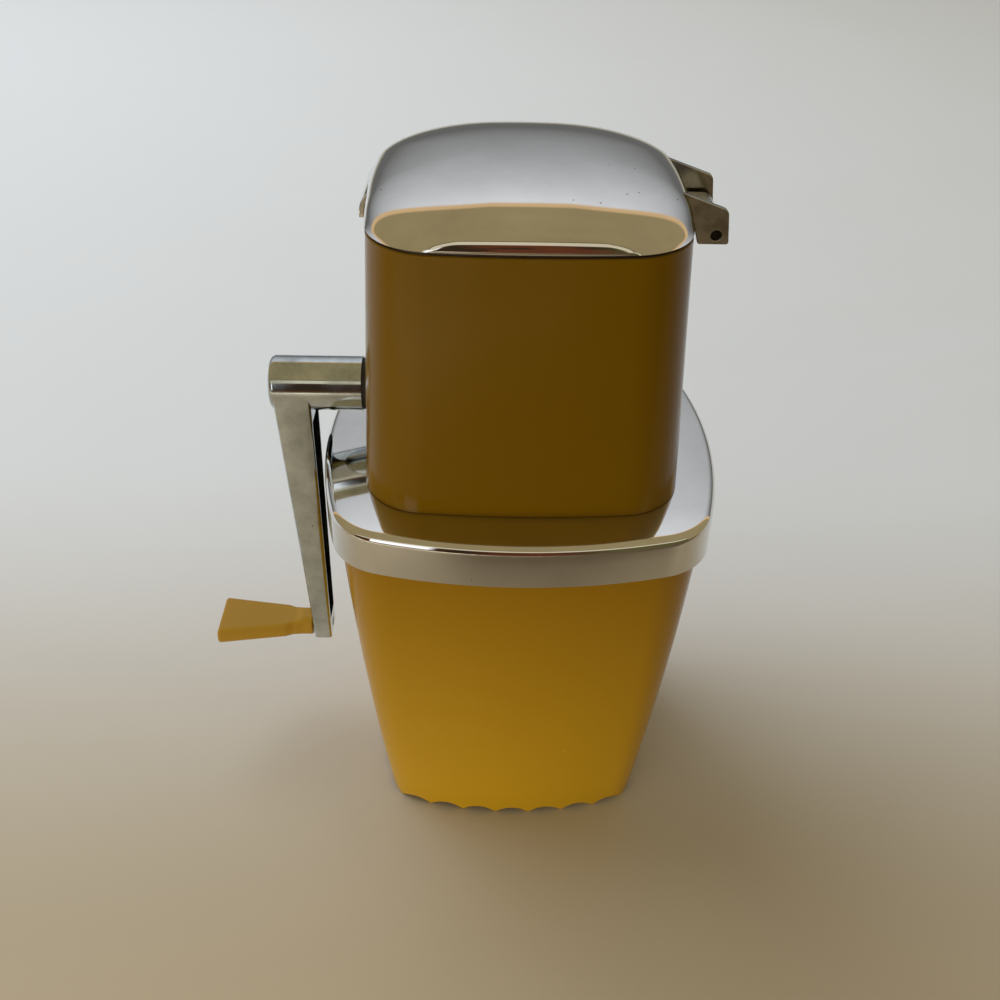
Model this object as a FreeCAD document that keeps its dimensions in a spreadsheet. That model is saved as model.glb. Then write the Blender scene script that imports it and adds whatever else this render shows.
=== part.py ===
import FreeCAD, Part
import math
import os
import re
import Sketcher

# Hand crank ice crusher: a tapered cup under a lift-off head with a chromed collar,
# a housing, a hinged dome lid and a side crank that turns a row of ice breakers.
# Frame: millimetres, +Z up, origin at the centre of the plane that the cup stands on.
# -X is the crank side, +X the hinge side.

SIZES = {
    # Cup
    "cup_height": 132.6,
    "cup_foot_half": 47.0,
    "cup_foot_bow": 170.0,
    "cup_foot_corner": 14.0,
    "cup_heel": 8.0,
    "cup_tuck": 3.6,
    "cup_bulge": 1.5,
    "cup_rim_half": 63.3,
    "cup_rim_bow": 202.0,
    "cup_rim_corner": 22.5,
    "cup_wall": 2.4,
    "cup_lip_bevel": 0.6,
    "foot_depth": 5.0,
    "floor_thickness": 2.5,
    "foot_ring_half": 36.0,
    "foot_ring_wide": 2.2,
    "arch_count": 28,
    "arch_rise": 2.7,
    "arch_land": 0.8,
    # Collar
    "seat_gap": 0.2,
    "collar_half": 66.3,
    "collar_bow": 175.0,
    "collar_corner": 21.0,
    "collar_wall": 2.2,
    "collar_height": 16.3,
    "deck_thickness": 5.6,
    "lip_round": 3.0,
    "rib_height": 4.0,
    "rib_thickness": 2.0,
    "rib_gap": 0.6,
    # Housing
    "housing_height": 83.8,
    "housing_base_half": 51.5,
    "housing_top_half": 48.0,
    "housing_bow": 350.0,
    "housing_corner": 20.0,
    "housing_wall": 2.0,
    "housing_hole_gap": 0.5,
    # Lid
    "lid_gap": 0.2,
    "lid_overhang": 0.4,
    "lid_height": 15.0,
    "lid_fullness": 1.9,
    "lid_wall": 1.8,
    "lid_rounding": 0.3,
    "lid_crown_bow": 1.08,
    "lid_crown_corner": 0.9,
    "tab_half_width": 11.5,
    "tab_thickness": 1.5,
    "tab_drop": 4.3,
    "tab_stand_off": 0.35,
    "tab_rise": 5.9,
    "tab_brow": 2.4,
    "tab_reach": 3.8,
    "tab_lean": 0.15,
    "tab_bend_drop": 0.7,
    "tab_step": 0.45,
    "tab_round": 7.0,
    "lug_spacing": 29.8,
    "lug_thickness": 2.0,
    "lug_reach": 4.1,
    "lug_drop": 2.8,
    "lug_shoulder": 7.7,
    "lug_root": 6.9,
    "lug_root_reach": 5.4,
    "lug_slant": 1.1,
    "lug_round": 2.2,
    "pin_stand_off": 7.9,
    "pin_drop": 6.5,
    "pin_radius": 1.6,
    "pin_gap": 0.05,
    "pin_recess": 0.7,
    # Hinge bracket
    "bracket_half_width": 12.0,
    "bracket_plate": 1.3,
    "bracket_height": 15.0,
    "knuckle_wall": 1.5,
    "rivet_radius": 1.5,
    "rivet_head_radius": 2.7,
    "rivet_head": 1.1,
    "rivet_head_round": 0.75,
    "rivet_tail_radius": 2.2,
    "rivet_tail": 0.8,
    "rivet_spacing": 14.0,
    "rivet_drop": 9.0,
    "rivet_gap": 0.15,
    # Hopper
    "hopper_wall": 1.5,
    "hopper_flange": 0.8,
    "hopper_inset": 0.7,
    "hopper_clearance": 0.8,
    "hopper_throat_lip": 1.6,
    # Crusher frame
    "chamber_half": 35.0,
    "frame_height": 43.6,
    "frame_wall": 3.0,
    "frame_corner": 2.0,
    "flange_reach": 9.0,
    "flange_thickness": 3.0,
    "boss_radius": 11.0,
    "boss_gap": 1.4,
    "rear_boss_length": 8.0,
    "screw_radius": 2.0,
    "screw_gap": 0.1,
    "screw_head_radius": 3.6,
    "screw_head": 2.0,
    "screw_inset": 4.6,
    # Rotor
    "shaft_rise": 17.8,
    "square_side": 8.0,
    "square_gap": 0.05,
    "front_journal": 6.0,
    "rear_journal": 3.8,
    "running_gap": 0.06,
    "bush_wall": 2.0,
    "bush_flange": 1.2,
    "bush_flange_reach": 2.2,
    "press_gap": 0.02,
    "bush_proud": 0.55,
    "breaker_count": 5,
    "breaker_pitch": 12.0,
    "breaker_thickness": 4.0,
    "breaker_tip": 22.0,
    "breaker_shoulder": 20.2,
    "breaker_eye": 9.0,
    "breaker_root": 4.6,
    "breaker_point": 1.3,
    "finger_count": 3,
    "spacer_radius": 8.0,
    "end_play": 0.2,
    "clip_thickness": 0.9,
    "clip_reach": 2.4,
    "groove_depth": 0.8,
    "shaft_tail": 1.6,
    # Combs
    "comb_bar": 4.0,
    "comb_bar_height": 14.0,
    "tip_clearance": 1.0,
    "comb_eye_gap": 1.4,
    "fine_tooth": 5.6,
    "coarse_tooth": 3.4,
    "tooth_root": 5.5,
    "tooth_tip": 1.6,
    "comb_screw_spacing": 36.0,
    # Crank
    "washer_thickness": 1.5,
    "washer_gap": 0.15,
    "washer_radius": 8.6,
    "hub_radius": 9.2,
    "hub_length": 30.9,
    "hub_round": 1.8,
    "hub_end_wall": 6.5,
    "screw_bore_depth": 12.0,
    "crank_screw_radius": 2.2,
    "crank_screw_head": 4.3,
    "crank_head_height": 2.2,
    "crank_head_recess": 3.0,
    "arm_length": 109.4,
    "arm_top_depth": 12.6,
    "arm_foot_depth": 6.4,
    "arm_top_half": 9.1,
    "arm_foot_half": 6.3,
    "arm_wall": 1.8,
    "arm_round": 1.0,
    "arm_foot_edge": 0.6,
    "arm_stand_off": 1.2,
    "channel_top": 11.5,
    "channel_foot": 8.5,
    "crank_radius": 105.8,
    # Grip
    "grip_length": 35.6,
    "grip_gap": 0.3,
    "grip_end_half": 11.2,
    "grip_end_thick": 6.2,
    "grip_end_round": 1.2,
    "grip_shoulder": 11.0,
    "grip_shoulder_half": 7.4,
    "grip_shoulder_thick": 6.0,
    "grip_neck": 3.6,
    "grip_neck_half": 5.4,
    "grip_neck_thick": 7.8,
    "grip_neck_round": 3.4,
    "grip_round": 2.4,
    "grip_pin_radius": 1.7,
    "grip_pin_depth": 27.0,
    "grip_pin_head": 2.7,
    "grip_pin_head_height": 1.4,
    "grip_pin_short": 0.4,
}

doc = FreeCAD.newDocument("ice_crusher")
sheet = doc.addObject("Spreadsheet::Sheet", "Sizes")
for row, (alias, number) in enumerate(SIZES.items(), start=1):
    sheet.set(f"A{row}", alias)
    sheet.set(f"B{row}", str(number))
    sheet.setAlias(f"B{row}", alias)
doc.recompute()

# Heights and places that follow from the sizes, as formulas
CEILING = "(cup_height + seat_gap)"
DECK = f"({CEILING} + deck_thickness)"
RIM = f"({DECK} + housing_height)"
LID_BASE = f"({RIM} + hopper_flange + lid_gap)"
LID_HALF = "(housing_top_half + lid_overhang)"
PIN_X = "(housing_top_half + pin_stand_off)"
PIN_Z = f"({LID_BASE} - pin_drop)"
SHAFT_Z = f"({DECK} + shaft_rise)"
THROAT = f"({DECK} + frame_height)"
CHAMBER_DEEP = "(breaker_tip + tip_clearance + comb_bar)"
WALL_AT_SHAFT = ("(housing_base_half + (housing_top_half - housing_base_half)"
                 " * shaft_rise / housing_height)")
BUSH_END = f"({WALL_AT_SHAFT} + bush_proud)"
HUB_FACE = f"({BUSH_END} + washer_gap + washer_thickness)"
HUB_END = f"({HUB_FACE} + hub_length)"
ARM_BACK = f"({HUB_END} - arm_stand_off - arm_top_depth)"
GRIP_Z = f"({SHAFT_Z} - crank_radius)"
GRIP_ROOT = (f"({ARM_BACK} + grip_gap + arm_top_depth + (arm_foot_depth - arm_top_depth)"
             " * (crank_radius - grip_neck_half) / arm_length)")
FRONT_BUSH_OUT = "(front_journal + running_gap + bush_wall)"
REAR_BUSH_OUT = "(rear_journal + running_gap + bush_wall)"
REAR_BUSH_END = "(chamber_half + rear_boss_length)"
SCREW_X = "(chamber_half + flange_reach - screw_inset)"
SCREW_Y = f"({CHAMBER_DEEP} + flange_reach - screw_inset)"


def full(formula):
    """Write a formula of size names so that the sheet's cells are read."""
    return re.sub(r"[a-z_]+", lambda m: f"Sizes.{m.group()}" if m.group() in SIZES else m.group(), formula)


def value(formula):
    """Work out a formula of size names now."""
    return float(sheet.evalExpression(full(formula)))


def bind(thing, name, formula):
    """Tie a property of an object to a formula of size names."""
    thing.setExpression(name, full(formula))


def new_body(label, x="0", z="0"):
    """Start a body, whose own origin lies at x, z."""
    body = doc.addObject("PartDesign::Body", label)
    body.Label = label
    bind(body, "Placement.Base.x", x)
    bind(body, "Placement.Base.z", z)
    return body


def new_sketch(body, role="XY_Plane", offset="0"):
    """Start a sketch on one of the body's origin planes, moved along its normal."""
    sketch = body.newObject("Sketcher::SketchObject", f"{body.Name}_sketch")
    plane = next(item for item in body.Origin.OriginFeatures if item.Role == role)
    sketch.AttachmentSupport = [(plane, "")]
    sketch.MapMode = "FlatFace"
    bind(sketch, "AttachmentOffset.Base.z", offset)
    return sketch


def hold(sketch, formula, *constraint):
    """Add a constraint with a size and tie the size to a formula."""
    index = sketch.addConstraint(Sketcher.Constraint(*constraint, value(formula)))
    sketch.setExpression(f"Constraints[{index}]", full(formula))


def crowned_square(body, half, bow, corner, role="XY_Plane", offset="0"):
    """Draw a square with gently bowed sides and round corners, as eight tangent arcs."""
    sketch = new_sketch(body, role, offset)
    bow_now, corner_now = value(bow), value(corner)
    drop = bow_now - value(half)
    corner_at = (math.sqrt(2 * (bow_now - corner_now) ** 2 - drop ** 2) - drop) / 2
    spread = math.pi / 2 - math.atan2(corner_at + drop, corner_at)
    for quarter in range(4):
        middle = (quarter - 1) * math.pi / 2
        side_centre = FreeCAD.Vector(-drop * math.cos(middle), -drop * math.sin(middle), 0)
        side = Part.Circle(side_centre, FreeCAD.Vector(0, 0, 1), bow_now)
        sketch.addGeometry(Part.ArcOfCircle(side, middle - spread, middle + spread))
        diagonal = middle + math.pi / 4
        reach = corner_at * math.sqrt(2)
        corner_centre = FreeCAD.Vector(reach * math.cos(diagonal), reach * math.sin(diagonal), 0)
        bend = Part.Circle(corner_centre, FreeCAD.Vector(0, 0, 1), corner_now)
        sketch.addGeometry(Part.ArcOfCircle(bend, middle + spread, middle + math.pi / 2 - spread))
    for arc in range(8):
        sketch.addConstraint(Sketcher.Constraint("Tangent", arc, 2, (arc + 1) % 8, 1))
    for arc in range(2, 8):
        sketch.addConstraint(Sketcher.Constraint("Equal", arc % 2, arc))
    for arc in range(0, 8, 2):
        axis = -2 if arc % 4 == 0 else -1
        sketch.addConstraint(Sketcher.Constraint("PointOnObject", arc, 3, axis))
    hold(sketch, bow, "Radius", 0)
    hold(sketch, corner, "Radius", 1)
    centre_off = f"({bow}) - ({half})"
    hold(sketch, centre_off, "DistanceY", -1, 1, 0, 3)
    hold(sketch, centre_off, "DistanceX", 2, 3, -1, 1)
    hold(sketch, centre_off, "DistanceY", 4, 3, -1, 1)
    hold(sketch, centre_off, "DistanceX", -1, 1, 6, 3)
    return sketch


def round_rectangle(body, half_u, half_v, corner, role="XY_Plane", offset="0"):
    """Draw a rectangle about the origin with four round corners."""
    sketch = new_sketch(body, role, offset)
    u, v, r = value(half_u), value(half_v), value(corner)
    turns = [(1, -1), (1, 1), (-1, 1), (-1, -1)]
    starts = [(-u + r, -v), (u, -v + r), (u - r, v), (-u, v - r)]
    ends = [(u - r, -v), (u, v - r), (-u + r, v), (-u, -v + r)]
    for side in range(4):
        start = FreeCAD.Vector(*starts[side], 0)
        end = FreeCAD.Vector(*ends[side], 0)
        sketch.addGeometry(Part.LineSegment(start, end))
        sign_u, sign_v = turns[side]
        centre = FreeCAD.Vector(sign_u * (u - r), sign_v * (v - r), 0)
        first = (side - 1) * math.pi / 2
        circle = Part.Circle(centre, FreeCAD.Vector(0, 0, 1), r)
        sketch.addGeometry(Part.ArcOfCircle(circle, first, first + math.pi / 2))
    for edge in range(8):
        sketch.addConstraint(Sketcher.Constraint("Tangent", edge, 2, (edge + 1) % 8, 1))
    for edge in (3, 5, 7):
        sketch.addConstraint(Sketcher.Constraint("Equal", 1, edge))
    for edge in (0, 4):
        sketch.addConstraint(Sketcher.Constraint("Horizontal", edge))
    for edge in (2, 6):
        sketch.addConstraint(Sketcher.Constraint("Vertical", edge))
    hold(sketch, corner, "Radius", 1)
    hold(sketch, half_u, "DistanceX", -1, 1, 2, 1)
    hold(sketch, half_u, "DistanceX", 6, 1, -1, 1)
    hold(sketch, half_v, "DistanceY", -1, 1, 4, 1)
    hold(sketch, half_v, "DistanceY", 0, 1, -1, 1)
    return sketch


def polygon(body, corners, role="XY_Plane", offset="0"):
    """Draw straight edges through corners given as pairs of formulas."""
    sketch = new_sketch(body, role, offset)
    places = [FreeCAD.Vector(value(u), value(v), 0) for u, v in corners]
    count = len(corners)
    for index in range(count):
        sketch.addGeometry(Part.LineSegment(places[index], places[(index + 1) % count]))
    for index in range(count):
        sketch.addConstraint(Sketcher.Constraint("Coincident", index, 2, (index + 1) % count, 1))
    for index, (u, v) in enumerate(corners):
        hold(sketch, u, "DistanceX", -1, 1, index, 1)
        hold(sketch, v, "DistanceY", -1, 1, index, 1)
    return sketch


def circle(body, radius, u="0", v="0", role="XY_Plane", offset="0"):
    """Draw a circle with its centre at u, v."""
    sketch = new_sketch(body, role, offset)
    centre = FreeCAD.Vector(value(u), value(v), 0)
    sketch.addGeometry(Part.Circle(centre, FreeCAD.Vector(0, 0, 1), value(radius)))
    hold(sketch, radius, "Radius", 0)
    hold(sketch, u, "DistanceX", -1, 1, 0, 3)
    hold(sketch, v, "DistanceY", -1, 1, 0, 3)
    return sketch


def volume_of(body):
    """Give a body's volume, or nothing for an empty body."""
    return 0.0 if body.Shape.isNull() else body.Shape.Volume


def finish_feature(body, feature, cuts):
    """Rebuild, and see that the feature added or removed material as meant."""
    before = volume_of(body)
    box = None if body.Shape.isNull() else body.Shape.BoundBox
    doc.recompute()
    change = volume_of(body) - before
    lost = box and not cuts and body.Shape.BoundBox.DiagonalLength < box.DiagonalLength - 0.01
    if lost or ((change >= 0) if cuts else (change <= 0)):
        raise ValueError(f"{body.Label}: {feature.Name} changed the volume by {change:.3f}")
    return feature


def pad(body, sketch, length, both_ways=False, reverse=False):
    """Raise a sketch along its normal, or half each way."""
    feature = body.newObject("PartDesign::Pad", f"{body.Name}_pad")
    feature.Profile = sketch
    feature.Midplane = both_ways
    feature.Reversed = reverse
    bind(feature, "Length", length)
    return finish_feature(body, feature, cuts=False)


def pocket(body, sketch, length, both_ways=False):
    """Cut a sketch along its normal, or half each way."""
    feature = body.newObject("PartDesign::Pocket", f"{body.Name}_pocket")
    feature.Profile = sketch
    feature.Midplane = both_ways
    feature.Reversed = not both_ways
    bind(feature, "Length", length)
    return finish_feature(body, feature, cuts=True)


def loft(body, sections, cuts=False, ruled=True):
    """Run a skin through sketches in turn, to add a solid or to cut one out."""
    kind = "SubtractiveLoft" if cuts else "AdditiveLoft"
    feature = body.newObject(f"PartDesign::{kind}", f"{body.Name}_loft")
    feature.Profile = sections[0]
    feature.Sections = sections[1:]
    feature.Ruled = ruled
    return finish_feature(body, feature, cuts)


def round_edges(body, radius, wanted, bevel=False):
    """Round the edges of the body that the test picks, or bevel them."""
    kind, measure = ("Chamfer", "Size") if bevel else ("Fillet", "Radius")
    base = body.Tip
    names = [f"Edge{i}" for i, edge in enumerate(base.Shape.Edges, start=1) if wanted(edge)]
    feature = body.newObject(f"PartDesign::{kind}", f"{body.Name}_{kind.lower()}")
    feature.Base = (base, names)
    bind(feature, measure, radius)
    before = volume_of(body)
    doc.recompute()
    if not names or abs(volume_of(body) - before) < 0.001:
        raise ValueError(f"{body.Label}: {feature.Name} rounded nothing")
    return feature


def level_at(height, tolerance=0.01):
    """Make a test for edges that lie flat at one height of the body."""
    def test(edge):
        box = edge.BoundBox
        return abs(box.ZMin - height) < tolerance and abs(box.ZMax - height) < tolerance
    return test


def rod(name, start, direction, radius, length):
    """Make a round bar from a start point given as formulas, along a direction."""
    bar = doc.addObject("Part::Cylinder", name)
    bind(bar, "Radius", radius)
    bind(bar, "Height", length)
    turn = FreeCAD.Rotation(FreeCAD.Vector(0, 0, 1), FreeCAD.Vector(*direction))
    bar.Placement = FreeCAD.Placement(FreeCAD.Vector(0, 0, 0), turn)
    for axis, formula in zip("xyz", start):
        bind(bar, f"Placement.Base.{axis}", formula)
    return bar


def join(label, pieces):
    """Fuse pieces into one solid."""
    whole = doc.addObject("Part::MultiFuse", label)
    whole.Label = label
    whole.Shapes = pieces
    return whole


def cut(label, base, tool):
    """Take the tool's shape out of the base."""
    whole = doc.addObject("Part::Cut", label)
    whole.Label = label
    whole.Base = base
    whole.Tool = tool
    return whole


def group(label, pieces):
    """Hold like pieces as separate solids of one sub-part."""
    whole = doc.addObject("Part::Compound", label)
    whole.Label = label
    whole.Links = pieces
    return whole


def screw(name, start, direction, length, shank="screw_radius", head="screw_head_radius",
          head_height="screw_head"):
    """Make a pan head screw whose head's seat lies at start and whose shank runs along direction."""
    back = [-part for part in direction]
    shank_bar = rod(f"{name}_shank", start, direction, shank, length)
    head_bar = rod(f"{name}_head", start, back, head, head_height)
    return join(name, [shank_bar, head_bar])


# Cup: one tapered moulding with slightly barrelled sides, whose heel tucks in to an arched
# foot edge with a ring inside it
def cup_outline(body, height, inset, tucked="0"):
    """Draw the cup's plan at a height, set in from the outside and, in the heel, by a share of the tuck."""
    share = f"(({height}) / cup_height)"

    def blend(foot, rim):
        return f"({foot} + ({rim} - ({foot})) * {share} - ({inset}))"

    barrel = f"cup_bulge * 4 * {share} * (1 - {share})"
    half = f"({blend('(cup_foot_half + cup_tuck)', 'cup_rim_half')} + {barrel} - cup_tuck * ({tucked}))"
    return crowned_square(body, half, blend("cup_foot_bow", "cup_rim_bow"),
                          blend("cup_foot_corner", "cup_rim_corner"), offset=height)


def cup_side(body, start, inset):
    """Draw the plans of one face of the cup's side, from a height up to the rim."""
    climb = f"(cup_height - ({start}))"
    return [cup_outline(body, f"{start} + {climb} * {share}", inset) for share in (0, 0.33, 0.66, 1)]


def outline_places(half, bow, corner, count):
    """Share places evenly round a crowned square, each with its outward direction."""
    drop = bow - half
    corner_at = (math.sqrt(2 * (bow - corner) ** 2 - drop ** 2) - drop) / 2
    spread = math.pi / 2 - math.atan2(corner_at + drop, corner_at)
    half_side = bow * spread
    quarter = 2 * half_side + corner * (math.pi / 2 - 2 * spread)
    places = []
    for index in range(count):
        turn, along = divmod((index + 0.5) * 4 * quarter / count + half_side, quarter)
        middle = (turn - 1) * math.pi / 2
        if along < 2 * half_side:
            angle = middle - spread + along / bow
            centre = FreeCAD.Vector(-drop * math.cos(middle), -drop * math.sin(middle), 0)
            radius = bow
        else:
            angle = middle + spread + (along - 2 * half_side) / corner
            diagonal = middle + math.pi / 4
            reach = corner_at * math.sqrt(2)
            centre = FreeCAD.Vector(reach * math.cos(diagonal), reach * math.sin(diagonal), 0)
            radius = corner
        outward = FreeCAD.Vector(math.cos(angle), math.sin(angle), 0)
        places.append((centre + outward * radius, outward))
    return places, 4 * quarter


def make_cup():
    body = new_body("cup_moulding")
    heel = [cup_outline(body, f"cup_heel * {share}", "0", f"{(1 - share) ** 2:.4f}") for share in (0, 0.4, 1)]
    loft(body, heel, ruled=False)
    loft(body, cup_side(body, "cup_heel", "0"), ruled=False)
    loft(body, cup_side(body, "foot_depth + floor_thickness", "cup_wall"), cuts=True, ruled=False)
    loft(body, [cup_outline(body, "0", "cup_wall", "1"),
                cup_outline(body, "foot_depth", "cup_wall", "(1 - foot_depth / cup_heel) ^ 2")], cuts=True)
    ring_out = "foot_ring_half"
    ring_in = "foot_ring_half - foot_ring_wide"
    pad(body, crowned_square(body, ring_out, "cup_foot_bow", "cup_foot_corner"), "foot_depth")
    pocket(body, crowned_square(body, ring_in, "cup_foot_bow - foot_ring_wide",
                                "cup_foot_corner - foot_ring_wide"), "foot_depth")
    round_edges(body, "cup_lip_bevel", level_at(value("cup_height")), bevel=True)
    places, around = outline_places(value("cup_foot_half"), value("cup_foot_bow"),
                                    value("cup_foot_corner"), int(value("arch_count")))
    half_chord = (around / len(places) - value("arch_land")) / 2
    rise = value("arch_rise")
    radius = (half_chord ** 2 + rise ** 2) / (2 * rise)
    reach = 3 * value("cup_wall")
    arches = []
    for index, (place, outward) in enumerate(places, start=1):
        arch = doc.addObject("Part::Cylinder", f"arch_{index}")
        arch.Radius = radius
        arch.Height = 2 * reach
        start = place - outward * reach + FreeCAD.Vector(0, 0, rise - radius)
        arch.Placement = FreeCAD.Placement(start, FreeCAD.Rotation(FreeCAD.Vector(0, 0, 1), outward))
        arches.append(arch)
    return cut("cup", body, join("foot_arches", arches))


# Collar: a die-cast and chromed ring, whose skirt hides the cup's rim and whose
# flat deck, rolled over at its edge, carries the head
def make_collar():
    body = new_body("collar")
    bottom = f"({DECK} - collar_height)"
    pad(body, crowned_square(body, "collar_half", "collar_bow", "collar_corner", offset=bottom), "collar_height")
    round_edges(body, "lip_round", level_at(value(DECK)))
    pocket(body, crowned_square(body, "collar_half - collar_wall", "collar_bow - collar_wall",
                                "collar_corner - collar_wall", offset=bottom), "collar_height - deck_thickness")
    cup_taper = "(cup_rim_half - cup_foot_half) / cup_height"
    rib_out = f"(cup_rim_half - cup_wall - rib_gap - rib_height * {cup_taper})"
    rib_bow = "(cup_rim_bow - cup_wall - rib_gap)"
    rib_corner = "(cup_rim_corner - cup_wall - rib_gap)"
    low = f"{CEILING} - rib_height"
    pad(body, crowned_square(body, rib_out, rib_bow, rib_corner, offset=low), "rib_height")
    pocket(body, crowned_square(body, f"{rib_out} - rib_thickness", f"{rib_bow} - rib_thickness",
                                f"{rib_corner} - rib_thickness", offset=low), "rib_height")
    pocket(body, round_rectangle(body, "chamber_half", CHAMBER_DEEP, "frame_corner", offset=CEILING),
           "deck_thickness")
    for sign_x in (-1, 1):
        for sign_y in (-1, 1):
            pocket(body, circle(body, "screw_radius + screw_gap", f"{SCREW_X} * {sign_x}",
                                f"{SCREW_Y} * {sign_y}", offset=CEILING), "deck_thickness")
    return body


# Housing: the tapered shell round the works, open above and below
def housing_outline(body, height, inset):
    """Draw the housing's plan at a height above the deck, set in from the outside."""
    half = (f"(housing_base_half + (housing_top_half - housing_base_half)"
            f" * ({height}) / housing_height - ({inset}))")
    return crowned_square(body, half, f"(housing_bow - ({inset}))", f"(housing_corner - ({inset}))",
                          offset=height)


def make_housing():
    body = new_body("housing", z=DECK)
    loft(body, [housing_outline(body, "0", "0"), housing_outline(body, "housing_height", "0")])
    loft(body, [housing_outline(body, "0", "housing_wall"),
                housing_outline(body, "housing_height", "housing_wall")], cuts=True)
    pocket(body, circle(body, f"{FRONT_BUSH_OUT} + housing_hole_gap", v="shaft_rise", role="YZ_Plane",
                        offset="-housing_base_half"), "housing_wall * 3")
    for sign in (-1, 1):
        pocket(body, circle(body, "rivet_radius + rivet_gap", f"rivet_spacing / 2 * {sign}",
                            f"{PIN_Z} - rivet_drop - {DECK}", role="YZ_Plane",
                            offset="housing_top_half - housing_wall * 2"), "housing_wall * 4")
    return body


# Hopper: the funnel under the lid, hung by its flange from the housing's rim
def make_hopper():
    body = new_body("hopper")
    out_half = "(housing_top_half - housing_wall - hopper_clearance)"
    out_corner = "(housing_corner - housing_wall - hopper_clearance)"
    throat_x = "(chamber_half + hopper_wall)"
    throat_y = f"({CHAMBER_DEEP} + hopper_wall)"
    throat_corner = "(frame_corner + hopper_wall)"
    low = f"{THROAT} + hopper_throat_lip"
    top = RIM
    loft(body, [round_rectangle(body, throat_x, throat_y, throat_corner, offset=low),
                crowned_square(body, out_half, "housing_bow", out_corner, offset=top)])
    pad(body, crowned_square(body, "housing_top_half - hopper_inset", "housing_bow",
                             "housing_corner - hopper_inset", offset=top), "hopper_flange")
    pad(body, round_rectangle(body, "chamber_half + flange_reach", f"{CHAMBER_DEEP} + flange_reach",
                              "frame_corner", offset=THROAT), "hopper_throat_lip")
    loft(body, [round_rectangle(body, "chamber_half", CHAMBER_DEEP, "frame_corner", offset=low),
                crowned_square(body, f"{out_half} - hopper_wall", "housing_bow - hopper_wall",
                               f"{out_corner} - hopper_wall", offset=top)], cuts=True)
    pocket(body, crowned_square(body, f"{out_half} - hopper_wall", "housing_bow - hopper_wall",
                                f"{out_corner} - hopper_wall", offset=top), "hopper_flange")
    pocket(body, round_rectangle(body, "chamber_half", CHAMBER_DEEP, "frame_corner", offset=THROAT),
           "hopper_throat_lip")
    for sign_x in (-1, 1):
        for sign_y in (-1, 1):
            pocket(body, circle(body, "screw_radius + screw_gap", f"{SCREW_X} * {sign_x}",
                                f"{SCREW_Y} * {sign_y}", offset=THROAT), "hopper_throat_lip")
    return body


# Crusher frame: a cast box with a flange at each end and a bearing boss on each end wall
def make_crusher_frame():
    body = new_body("crusher_frame", z=DECK)
    out_x = "(chamber_half + frame_wall)"
    out_y = f"({CHAMBER_DEEP} + frame_wall)"
    flange_x = "chamber_half + flange_reach"
    flange_y = f"{CHAMBER_DEEP} + flange_reach"
    pad(body, round_rectangle(body, out_x, out_y, "frame_corner + frame_wall"), "frame_height")
    for height in ("0", "frame_height - flange_thickness"):
        pad(body, round_rectangle(body, flange_x, flange_y, "frame_corner", offset=height), "flange_thickness")
    front = f"({WALL_AT_SHAFT} - housing_wall - boss_gap)"
    pad(body, circle(body, "boss_radius", v="shaft_rise", role="YZ_Plane", offset=f"-{front}"),
        f"{front} - chamber_half")
    pad(body, circle(body, "boss_radius", v="shaft_rise", role="YZ_Plane", offset="chamber_half"),
        "rear_boss_length")
    pocket(body, round_rectangle(body, "chamber_half", CHAMBER_DEEP, "frame_corner"), "frame_height")
    pocket(body, circle(body, f"{FRONT_BUSH_OUT} + press_gap", v="shaft_rise", role="YZ_Plane",
                        offset=f"-{front}"), f"{front} - chamber_half")
    pocket(body, circle(body, f"{REAR_BUSH_OUT} + press_gap", v="shaft_rise", role="YZ_Plane",
                        offset="chamber_half"), "rear_boss_length")
    for sign_x in (-1, 1):
        for sign_y in (-1, 1):
            pocket(body, circle(body, "screw_radius + screw_gap", f"{SCREW_X} * {sign_x}",
                                f"{SCREW_Y} * {sign_y}"), "frame_height")
    for sign in (-1, 1):
        pocket(body, circle(body, "screw_radius + screw_gap", f"comb_screw_spacing / 2 * {sign}",
                            "shaft_rise", role="XZ_Plane"), f"{out_y} * 2 + 1", both_ways=True)
    return body


# Combs: fixed teeth that the breakers pass between, coarse on one side and fine on the other
def make_comb(label, side, tooth):
    body = new_body(label, z=SHAFT_Z)
    wall = f"{CHAMBER_DEEP} * {side}"
    face = f"({CHAMBER_DEEP} - comb_bar) * {side}"
    tip = f"(spacer_radius + comb_eye_gap) * {side}"
    half_bar = "(chamber_half - frame_corner)"
    bar = polygon(body, [(f"-{half_bar}", wall), (half_bar, wall), (half_bar, face), (f"-{half_bar}", face)],
                  offset="-comb_bar_height / 2")
    pad(body, bar, "comb_bar_height")
    first = "-(breaker_pitch * breaker_count / 2) "
    root = f"({CHAMBER_DEEP} - comb_bar / 2) * {side}"
    outline = [(root, "-tooth_root"), (root, "tooth_root"), (tip, "tooth_tip"), (tip, "-tooth_tip")]
    teeth = pad(body, polygon(body, outline, "YZ_Plane", first), tooth, both_ways=True)
    row = body.newObject("PartDesign::LinearPattern", f"{label}_row")
    row.Originals = [teeth]
    row.Direction = (teeth.Profile[0], ["N_Axis"])
    bind(row, "Length", "breaker_pitch * breaker_count")
    bind(row, "Occurrences", "breaker_count + 1")
    body.Tip = row
    doc.recompute()
    for sign in (-1, 1):
        hole = circle(body, "screw_radius + pin_gap", f"comb_screw_spacing / 2 * {sign}",
                      role="XZ_Plane", offset=f"-({wall})" if side > 0 else f"-({face})")
        pocket(body, hole, "comb_bar")
    return body


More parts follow.
